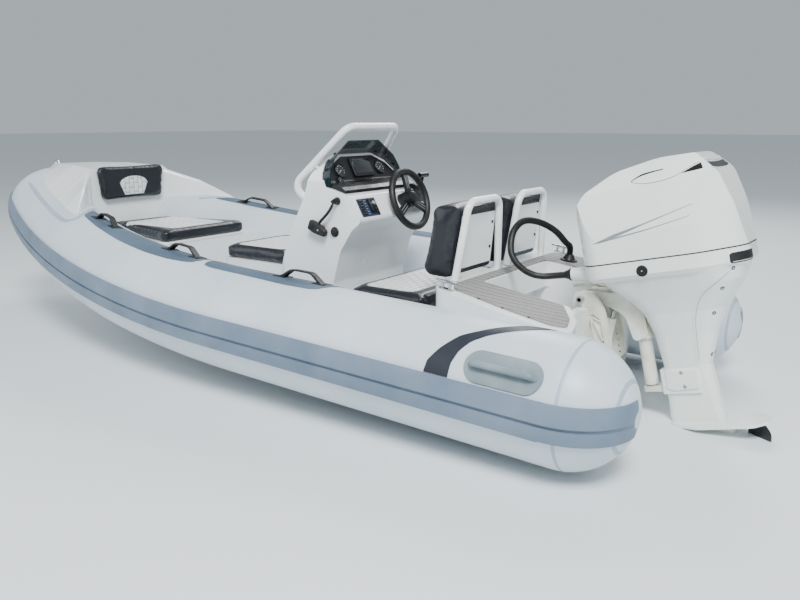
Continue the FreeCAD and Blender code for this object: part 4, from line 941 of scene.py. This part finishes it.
# Glued flange where the bow pod meets the tube: a band along the pod's edge and round each wing's tip
podFlange = {
    "line": ((3.850, 0.396, 0.883), (3.558, 0.517, 0.820), (3.204, 0.645, 0.750), (3.060, 0.690, 0.730),
             (2.975, 0.712, 0.712), (2.915, 0.700, 0.720), (2.898, 0.670, 0.730), (2.935, 0.600, 0.748),
             (3.010, 0.500, 0.750), (3.091, 0.419, 0.750)),
    "widths": ((0, 0.012), (0.1, 0.026), (0.9, 0.026), (1, 0.012)), "lift": 0.0006, "thick": 0.0018}
for side, word in ((1, "Port"), (-1, "Starboard")):
    ribbon("podFlange" + word, ("tube_bow", "tube_port" if side > 0 else "tube_starboard"),
           [(x, side * y, z) for x, y, z in podFlange["line"]], podFlange["widths"], podFlange["lift"],
           podFlange["thick"], "seamTape", "boat", gap=0.012, across=4)

# Outboard: seam between cowl and pan all the way round
seamSetup = {"steps": 160, "half": 2.6, "middle": -385.0, "reach": 600.0, "lift": 0.0005, "thick": 0.0007}


def cowlSeam(setup):
    clearSelection()
    bpy.ops.mesh.primitive_circle_add(vertices=setup["steps"], radius=1)
    band = bpy.context.object
    band.name = "cowlSeam"
    bpy.ops.object.mode_set(mode="EDIT")
    bpy.ops.mesh.select_all(action="SELECT")
    bpy.ops.mesh.extrude_region_move(TRANSFORM_OT_translate={"value": (0, 0, 1)})
    bpy.ops.object.mode_set(mode="OBJECT")
    for vertex in band.data.vertices:
        turn = math.atan2(vertex.co.y, vertex.co.x)
        high = engineSetup["seam"] + (setup["half"] if vertex.co.z > 0.5 else -setup["half"])
        away = (math.cos(turn), math.sin(turn))
        origin = onEngine(setup["middle"] + away[0] * setup["reach"], away[1] * setup["reach"], high)
        found = hit(("cowl", "lower_pan"), origin, engineWay(-away[0], -away[1], 0))
        vertex.co = found[0] + found[1] * setup["lift"]
    outwards(band)
    useModifier(band, "SOLIDIFY", thickness=setup["thick"], offset=0)
    smoothFaces(band, 50)
    fit(band, "blackRubber", "outboard")


cowlSeam(seamSetup)


# Half a line on the port side, up to the middle, and its mirror image after that
def mirrored(half):
    return half + tuple((x, -y, z) for x, y, z in reversed(half) if y)


# Dark slots, the rear air mouth and its lip, pinstripes and the port's frame, in the engine's own frame.
# Widths stand at shares of their line
engineRibbons = {
    "lensSlot": {
        "on": "cowl", "finish": "blackRubber", "both": True, "lift": 0.3, "thick": 0.6,
        "line": ((-322, 150, 472), (-345, 145, 486), (-385, 138, 496), (-456, 137, 499)),
        "widths": ((0, 3), (0.4, 8), (1, 4))},
    "lensEdge": {
        "on": "cowl", "finish": "stripeGrey", "both": True, "lift": 0.2, "thick": 0.5,
        "line": ((-322, 150, 470), (-360, 158, 455), (-430, 160, 452), (-500, 156, 460), (-545, 150, 480),
                 (-575, 140, 500)),
        "widths": ((0, 2.5), (0.5, 3), (1, 2.5))},
    "airMouth": {
        "on": "cowl", "finish": "blackPlastic", "both": False, "lift": 0.3, "thick": 0.8, "across": 6,
        "line": mirrored(((-533, 152, 470), (-572, 148, 479), (-610, 142, 484), (-640, 120, 486),
                          (-650, 70, 488), (-652, 0, 488))),
        "widths": ((0, 2), (0.10, 20), (0.2, 32), (0.35, 34), (0.65, 34), (0.8, 32), (0.9, 20), (1, 2))},
    "mouthLip": {
        "on": "cowl", "finish": "enginePaint", "both": False, "lift": 0.2, "thick": 5.0, "across": 6,
        "line": mirrored(((-530, 151, 474), (-566, 140, 494), (-602, 128, 505), (-622, 105, 508),
                          (-628, 60, 509), (-629, 0, 509))),
        "widths": ((0, 3), (0.12, 9), (0.3, 12), (0.7, 12), (0.88, 9), (1, 3))},
    "stripeUpper": {
        "on": "cowl", "finish": "stripeGrey", "both": True, "lift": 0.15, "thick": 0.3,
        "line": ((-133, 194, 240), (-230, 195, 262), (-380, 193, 300), (-560, 190, 345)),
        "widths": ((0, 2), (0.22, 15), (0.5, 6), (1, 2))},
    "stripeLower": {
        "on": "cowl", "finish": "stripeGrey", "both": True, "lift": 0.15, "thick": 0.3,
        "line": ((-150, 194, 242), (-250, 195, 255), (-400, 192, 272), (-545, 190, 300)),
        "widths": ((0, 3), (0.25, 6), (1, 2))},
    "portFrame": {
        "on": "lower_pan", "finish": "enginePaint", "both": False, "lift": 0.2, "thick": 2.4, "across": 8,
        "line": ((-650, 150, 104), (-690, 125, 104), (-715, 95, 104), (-723, 40, 104)),
        "widths": ((0, 44), (0.1, 58), (0.9, 58), (1, 50))},
    "portDark": {
        "on": "lower_pan", "finish": "blackRubber", "both": False, "lift": 1.6, "thick": 1.4, "across": 8,
        "line": ((-661, 146, 104), (-693, 124, 104), (-716, 94, 104), (-724, 48, 104)),
        "widths": ((0, 30), (0.08, 44), (0.94, 44), (1, 38))},
    "coverEdge": {
        "on": "leg_casing", "finish": "enginePaint", "both": True, "lift": 0.1, "thick": 2.2,
        "line": ((-655, 150, 58), (-618, 148, 40), (-568, 140, 8), (-512, 120, -32), (-474, 92, -112),
                 (-459, 72, -200), (-449, 56, -325)),
        "widths": ((0, 4), (0.5, 6), (1, 4))},
    # Strip of painted shade in the recess beside the cover's lip
    "coverShade": {
        "on": "leg_casing", "finish": "castRecess", "both": True, "lift": 0.1, "thick": 0.5,
        "line": ((-660, 148, 55), (-625, 147, 35), (-575, 139, 3), (-519, 118, -37), (-481, 90, -114),
                 (-466, 70, -201), (-456, 54, -325)),
        "widths": ((0, 2), (0.5, 3), (1, 2))},
}


def engineRibbon(name, values, side):
    line = [onEngine(x, side * y, z) for x, y, z in values["line"]]
    widths = tuple((share, wide / 1000) for share, wide in values["widths"])
    ribbon(name, (values["on"],), line, widths, values["lift"] / 1000, values["thick"] / 1000,
           values["finish"], "outboard", across=values.get("across", 3))


for name, values in engineRibbons.items():
    for side, word in ((1, "Port"), (-1, "Starboard")) if values["both"] else ((1, ""),):
        engineRibbon(name + word, values, side)

# Cover plate on each side of the gearcase, with two screws
coverPlate = {"low": ((-466, -352), (-461, -404), (-433, -441), (-339, -448), (-306, -436)),
              "high": ((-466, -351), (-306, -357)), "steps": (32, 16), "lift": 0.0004, "thick": 0.0045,
              "edge": 0.0018, "screws": ((-375, -368), (-383, -430))}
for side, word in ((1, "Port"), (-1, "Starboard")):
    sidePatch("coverPlate" + word, "gearcase", coverPlate, "enginePaint", side)
    spots = []
    for a, b in coverPlate["screws"]:
        spot, out = onFlank("gearcase", a, b, side)
        spots.append((spot + out * coverPlate["thick"], out))
    spread(capScrew(0.008, 0.004), "coverScrews" + word, spots, "aluminium", "outboard")

# Leg screws in dark seats, along the rear cover: place in the engine's frame
legScrews = ((-664, 132, 66), (-610, 121, -12), (-552, 76, -118), (-506, 24, -303))
spots = [nearest(("leg_casing",), onEngine(x, side * y, z)) for side in (1, -1) for x, y, z in legScrews]
seatModel = turned("screwSeat", ((0.0085, -0.001), (0.0085, 0.0008), (0.0062, 0.0012), (0.0058, 0.0002)), 18)
spread(seatModel, "legScrewSeats", spots, "blackRubber", "outboard")
spread(capScrew(0.0048, 0.0022), "legScrews", spots, "steel", "outboard")

# Round black plug on the pan's port side
found = onFlank("lower_pan", -325, 103, 1)
plugModel = turned("panPlug", ((0.024, -0.001), (0.024, 0.0028), (0.0222, 0.0040), (0.014, 0.0042),
                               (0.0130, 0.0018), (0.006, 0.0018), (0.0055, 0.0046), (0.0030, 0.0050)), 32)
spread(plugModel, "panPlug", (found,), "blackRubber", "outboard")
dotModel = turned("plugDot", ((0.0026, 0.0049), (0.0022, 0.0056)), 14)
spread(dotModel, "plugDot", (found,), "dialWhite", "outboard")
print("outboard trimmed")

# Console: switch panel on the slope below the dash
dashOut = Vector((-119, 0, 66.2)).normalized()
dashUp = Vector((66.2, 0, 119)).normalized()
dashAcross = Vector((0, -1, 0))
switchSetup = {"centre": (1.0971, 0.212, 0.862), "wide": 0.150, "high": 0.100, "frame": 0.010,
               "seat": 0.0004, "board": 0.0044, "face": 0.0070, "podFace": 0.017, "switches": 6,
               "pitch": 0.0145, "rocker": (-0.045, 0.030, 0.011), "marks": (-0.020, -0.012),
               "pod": (0.038, 0.004), "podSize": (0.050, 0.082), "key": 0.016, "stop": -0.022}


def onDash(right, up, out):
    return Vector(switchSetup["centre"]) + dashAcross * right + dashUp * up + dashOut * out


# A plate or turned piece stands on the slope, with its finish
def setOnDash(piece, right, up, out, finish):
    stand(piece, onDash(right, up, out), dashAcross, dashUp)
    fit(piece, finish, "boat")


def switchPanel(setup):
    wide, high, edge = setup["wide"], setup["high"], 2 * setup["frame"]
    frameLoop = oblong(wide + edge, high + edge)
    setOnDash(plate("switchFrame", frameLoop, 0.004, 0.0015, 0.010), 0, 0, setup["seat"], "railPaint")
    board = plate("switchBoard", oblong(wide, high), 0.0026, 0.0008, 0.005)
    setOnDash(board, 0, 0, setup["board"], "panelGloss")
    rockers, marks = [], []
    rockerRight, rockerWide, rockerHigh = setup["rocker"]
    for i in range(setup["switches"]):
        up = (i - (setup["switches"] - 1) / 2) * setup["pitch"]
        rocker = plate("rocker", oblong(rockerWide, rockerHigh), 0.005, 0.0018, 0.002)
        stand(rocker, onDash(rockerRight, up, setup["face"]), dashAcross, dashUp)
        rockers.append(rocker)
        for right in setup["marks"]:
            mark = turned("mark", ((0.0016, 0), (0.0013, 0.0006)), 12)
            stand(mark, onDash(right, up, setup["face"]), dashAcross, dashUp)
            marks.append(mark)
    fit(joined(rockers, "switchRockers"), "blackPlastic", "boat")
    fit(joined(marks, "switchMarks"), "dialWhite", "boat")
    podRight, podUp = setup["pod"]
    pod = plate("keyPlate", oblong(*setup["podSize"]), 0.010, 0.003, 0.010)
    setOnDash(pod, podRight, podUp, setup["face"], "blackPlastic")
    barrel = turned("keyBarrel", ((0.013, 0), (0.013, 0.006), (0.0115, 0.008), (0.006, 0.008),
                                  (0.0055, 0.005)))
    setOnDash(barrel, podRight, setup["key"], setup["podFace"], "steel")
    stop = turned("stopButton", ((0.010, 0), (0.010, 0.005), (0.0085, 0.011), (0.004, 0.0125)))
    setOnDash(stop, podRight, setup["stop"], setup["podFace"], "blackRubber")


switchPanel(switchSetup)

# Instruments on the black face under the screen: two dials and a flat display
faceOutWay = Vector((-0.885, 0, 0.465)).normalized()
faceUpWay = Vector((0.465, 0, 0.885)).normalized()
faceAcross = Vector((0, -1, 0))
instruments = {"middle": (1.2950, 0, 1.0370), "display": (0.000, 0.012, 0.170, 0.108),
               "glass": (0.024, 0.026, 0.004, 0.0122), "seat": 0.0004,
               "dials": ((0.185, 0.000, 0.040), (-0.160, 0.006, 0.040), (0.218, -0.052, 0.020)),
               "ticks": 9, "firstTick": -120, "tickStep": 30, "tickRing": 0.68, "tickOut": 0.0059,
               "needleOut": 0.0062, "needleWay": (-0.7, -0.5)}


def onFace(left, up, out):
    return Vector(instruments["middle"]) + Vector((0, 1, 0)) * left + faceUpWay * up + faceOutWay * out


def flatDisplay(setup):
    left, up, wide, high = setup["display"]
    lessWide, lessHigh, raised, out = setup["glass"]
    bezel = plate("displayBezel", oblong(wide, high), 0.012, 0.004, 0.012)
    stand(bezel, onFace(left, up, setup["seat"]), faceAcross, faceUpWay)
    fit(bezel, "blackRubber", "boat")
    screen = plate("displayGlass", oblong(wide - lessWide, high - lessHigh), 0.0014, 0.0006, 0.004)
    stand(screen, onFace(left, up + raised, out), faceAcross, faceUpWay)
    fit(screen, "screenGlass", "boat")


# Rim, face, ticks and needle of a dial, sized by its radius
def dial(setup, left, up, radius):
    rim = turned("dialRim", ((radius, 0), (radius, 0.007), (radius * 0.94, 0.010), (radius * 0.86, 0.009),
                             (radius * 0.84, 0.005)), 40)
    face = turned("dialFace", ((radius * 0.84, 0.0042), (radius * 0.83, 0.0054)), 40)
    for piece in (rim, face):
        stand(piece, onFace(left, up, setup["seat"]), faceAcross, faceUpWay)
    ticks = []
    for i in range(setup["ticks"]):
        turn = math.radians(setup["firstTick"] + setup["tickStep"] * i)
        tick = plate("tick", oblong(radius * 0.05, radius * 0.16), 0.0005, 0)
        way = faceAcross * math.sin(turn) + faceUpWay * math.cos(turn)
        spot = onFace(left, up, setup["tickOut"]) + way * radius * setup["tickRing"]
        stand(tick, spot, way.cross(faceOutWay), way)
        ticks.append(tick)
    foot, point, tail, long = radius * 0.03, radius * 0.012, radius * 0.12, radius * 0.58
    needle = plate("needle", ((-foot, -tail), (foot, -tail), (point, long), (-point, long)), 0.0006, 0)
    sideways, upwards = setup["needleWay"]
    swing = (faceAcross * sideways + faceUpWay * upwards).normalized()
    stand(needle, onFace(left, up, setup["needleOut"]), swing.cross(faceOutWay), swing)
    return rim, face, ticks, needle


def dials(setup):
    rims, faces, ticks, needles = [], [], [], []
    for left, up, radius in setup["dials"]:
        rim, face, marks, needle = dial(setup, left, up, radius)
        rims.append(rim)
        faces.append(face)
        ticks += marks
        needles.append(needle)
    for pieces, name, finish in ((rims, "dialRims", "blackRubber"), (faces, "dialFaces", "screenGlass"),
                                 (ticks, "dialTicks", "dialWhite"), (needles, "dialNeedles", "dialWhite")):
        fit(joined(pieces, name), finish, "boat")


flatDisplay(instruments)
dials(instruments)

# Bolts with caps through the windscreen's cheeks and along its foot
boltRows = {"places": ((1.318, 1.148), (1.300, 1.100), (1.335, 1.190)), "from": 0.6, "fall": 0.16}
spots = []
for side in (1, -1):
    for x, z in boltRows["places"]:
        way = Vector((0, -side, -boltRows["fall"])).normalized()
        found = hit(("windscreen",), Vector((x, side * boltRows["from"], z)), way)
        if found:
            spots.append(found)
spread(capScrew(0.0085, 0.006), "screenBolts", spots, "blackRubber", "boat")

# Port side of the console: hand microphone in its clip, socket cap and cord plug
consoleSide = 0.3182
micSetup = {"spot": (1.318, 0.318, 0.752), "tilt": -22, "long": 0.118, "high": 0.060, "clipOut": 0.0004,
            "bodyOut": 0.0106, "slots": 5, "slotPitch": 0.0055, "slotsFrom": -0.030, "slotOut": 0.0408,
            "keyFrom": 0.012, "keyOut": 0.0406}


def handMicrophone(setup):
    turn = math.radians(setup["tilt"])
    across = Vector((-math.cos(turn), 0, math.sin(turn)))
    up = Vector((math.sin(turn), 0, math.cos(turn)))
    out = Vector((0, 1, 0))
    spot = Vector(setup["spot"])
    long, high = setup["long"], setup["high"]
    bodyLoop = ((-long / 2, -high * 0.42), (-long * 0.1, -high * 0.5), (long * 0.32, -high * 0.36),
                (long / 2, -high * 0.30), (long / 2, high * 0.22), (long * 0.30, high * 0.36),
                (-long * 0.1, high * 0.5), (-long / 2, high * 0.46))
    clip = plate("micClip", oblong(0.050, 0.040), 0.010, 0.003, 0.006)
    stand(clip, spot + out * setup["clipOut"], across, up)
    fit(clip, "blackPlastic", "boat")
    body = plate("microphone", bodyLoop, 0.030, 0.008, 0.010)
    stand(body, spot + out * setup["bodyOut"], across, up)
    fit(body, "blackRubber", "boat")
    grille = []
    for i in range(setup["slots"]):
        slot = plate("slot", oblong(0.026, 0.0022), 0.0012, 0.0005)
        row = (i - (setup["slots"] - 1) / 2) * setup["slotPitch"]
        stand(slot, spot + out * setup["slotOut"] + across * setup["slotsFrom"] + up * row, across, up)
        grille.append(slot)
    fit(joined(grille, "microphoneGrille"), "blackPlastic", "boat")
    key = turned("microphoneKey", ((0.0055, 0), (0.0052, 0.0018), (0.0038, 0.0024)), 20)
    stand(key, spot + out * setup["keyOut"] + across * setup["keyFrom"], across, up)
    fit(key, "aluminium", "boat")


handMicrophone(micSetup)
socketModel = turned("socketCap", ((0.026, 0), (0.026, 0.003), (0.0235, 0.006), (0.019, 0.0065),
                                   (0.018, 0.012), (0.015, 0.014), (0.006, 0.0145)), 28)
spread(socketModel, "socketCap", (((1.2264, consoleSide, 0.7404), (0, 1, 0)),), "blackRubber", "boat")
plugModel = turned("cordPlug", ((0.020, 0), (0.020, 0.006), (0.017, 0.010), (0.015, 0.026), (0.010, 0.034),
                                (0.0075, 0.046)), 24)
spread(plugModel, "cordPlug", (((1.206, consoleSide, 0.898), (0, 1, 0)),), "blackPlastic", "boat")

# Curly cord from the plug to the microphone, stretched along the console's side
curlSetup = {"route": ((1.206, 0.3500, 0.898), (1.212, 0.3580, 0.872), (1.240, 0.3560, 0.838),
                       (1.278, 0.3520, 0.806), (1.300, 0.3470, 0.790), (1.316, 0.3380, 0.775)),
             "coil": 0.0062, "wire": 0.0017, "turns": 44, "plain": 0.10}


def curlyCord(setup):
    guide = evenly(splineLine(setup["route"]), 0.004)
    total = lineLength(guide)
    points = []
    around = 12
    count = setup["turns"] * around
    start, end = setup["plain"], 1 - setup["plain"]
    stations = evenly(guide, total / count)
    side = (stations[1] - stations[0]).orthogonal().normalized()
    for i, point in enumerate(stations):
        ahead = (stations[min(i + 1, len(stations) - 1)] - stations[max(i - 1, 0)]).normalized()
        side = (side - ahead * side.dot(ahead)).normalized()
        other = ahead.cross(side)
        share = i / (len(stations) - 1)
        fade = min(1, max(0, min(share - start * 0.2, end + start * 0.8 - share) / start))
        turn = 2 * math.pi * i / around
        points.append(point + (side * math.cos(turn) + other * math.sin(turn)) * setup["coil"] * fade)
    cord = tubeAlong("curlyCord", points, [setup["wire"]] * len(points), 8)
    wear(cord, "blackRubber")
    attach(cord, "boat")
    print("curly cord", round(lineLength(points), 3))


curlyCord(curlSetup)

# Wheel: bright inlays on the spokes and a cap on the boss
wheelSetup = {"centre": (1.050, -0.100, 0.885), "lean": 18.0, "spokes": (0, 120, 240), "from": 0.056,
              "to": 0.126, "apart": 0.0075, "wide": 0.0042, "top": 0.0072, "boss": 0.0221}
wheelLean = math.radians(wheelSetup["lean"])
wheelOut = Vector((-math.cos(wheelLean), 0, math.sin(wheelLean)))
wheelUp = Vector((math.sin(wheelLean), 0, math.cos(wheelLean)))


def wheelTrim(setup):
    centre = Vector(setup["centre"])
    port = Vector((0, 1, 0))
    inlays = []
    for degrees in setup["spokes"]:
        turn = math.radians(degrees)
        along = wheelUp * math.cos(turn) + port * math.sin(turn)
        beside = wheelOut.cross(along)
        middle = (setup["from"] + setup["to"]) / 2
        for offset in (-setup["apart"], setup["apart"]):
            inlay = plate("inlay", oblong(setup["to"] - setup["from"], setup["wide"]), 0.0014, 0.0005, 0.0015)
            spot = centre + along * middle + beside * offset + wheelOut * setup["top"]
            stand(inlay, spot, along, beside)
            inlays.append(inlay)
    fit(joined(inlays, "wheelInlays"), "aluminium", "helm")
    cap = turned("wheelCap", ((0.036, 0), (0.036, 0.004), (0.031, 0.008), (0.018, 0.0105),
                              (0.006, 0.011)), 36)
    stand(cap, centre + wheelOut * setup["boss"], port, wheelOut.cross(port))
    fit(cap, "blackPlastic", "helm")


wheelTrim(wheelSetup)
print("console trimmed")

# Back plates: four screws each
plateSetup = {"middle": 0.245, "half": 0.1275, "rows": ((0.4478, 0.712), (0.4362, 0.830)), "behind": 0.2}
spots = []
for side in (1, -1):
    for x, z in plateSetup["rows"]:
        for offset in (-plateSetup["half"], plateSetup["half"]):
            start = Vector((x - plateSetup["behind"], side * plateSetup["middle"] + offset, z))
            found = hit(("back_plates",), start, Vector((1, 0, 0)))
            if found:
                spots.append(found)
spread(capScrew(0.0075, 0.004), "plateScrews", spots, "blackRubber", "boat")

# Boot where the rigging hose enters the engine's sleeve
sleeveMouth = {"spot": (0.0505, 0.060, 0.6101), "heading": (0.9844, 0, -0.1759)}
bootModel = turned("sleeveBoot", ((0.0285, 0), (0.0285, 0.006), (0.0265, 0.009), (0.0225, 0.012),
                                  (0.0215, 0.020), (0.0190, 0.024), (0.0180, 0.030)), 32)
spread(bootModel, "sleeveBoot", ((sleeveMouth["spot"], sleeveMouth["heading"]),), "blackRubber", "outboard")
print("deck and seat trim on")

# Floor at the waterline and soft studio light
stageSetup = {"floor": 160.0, "tone": (222, 228, 230)}


def makeStage(setup):
    bpy.ops.mesh.primitive_grid_add(x_subdivisions=4, y_subdivisions=4, size=setup["floor"])
    floor = bpy.context.object
    floor.name = "floor"
    material = bpy.data.materials.new("studioFloor")
    material.use_nodes = True
    sheet = Nodes(material)
    sheet.put("Base Color", paint(*setup["tone"]))
    sheet.put("Roughness", 0.6)
    floor.data.materials.append(material)
    world = bpy.context.scene.world or bpy.data.worlds.new("studio")
    bpy.context.scene.world = world
    world.use_nodes = True
    world.node_tree.nodes["Background"].inputs[0].default_value = paint(224, 234, 240)
    world.node_tree.nodes["Background"].inputs[1].default_value = 0.62
    lights = (("key", (-3.2, 5.2, 7.5), 3.0, 1350), ("fill", (6.0, 5.0, 3.5), 5.0, 150),
              ("back", (2.5, -6.5, 6.0), 4.0, 420))
    for name, place, size, power in lights:
        data = bpy.data.lights.new(name, "AREA")
        data.size = size
        data.energy = power
        light = bpy.data.objects.new(name, data)
        bpy.context.scene.collection.objects.link(light)
        light.location = place
        light.rotation_euler = (Vector((1.4, 0, 0.4)) - Vector(place)).to_track_quat("-Z", "Y").to_euler()


makeStage(stageSetup)
print("stage set")
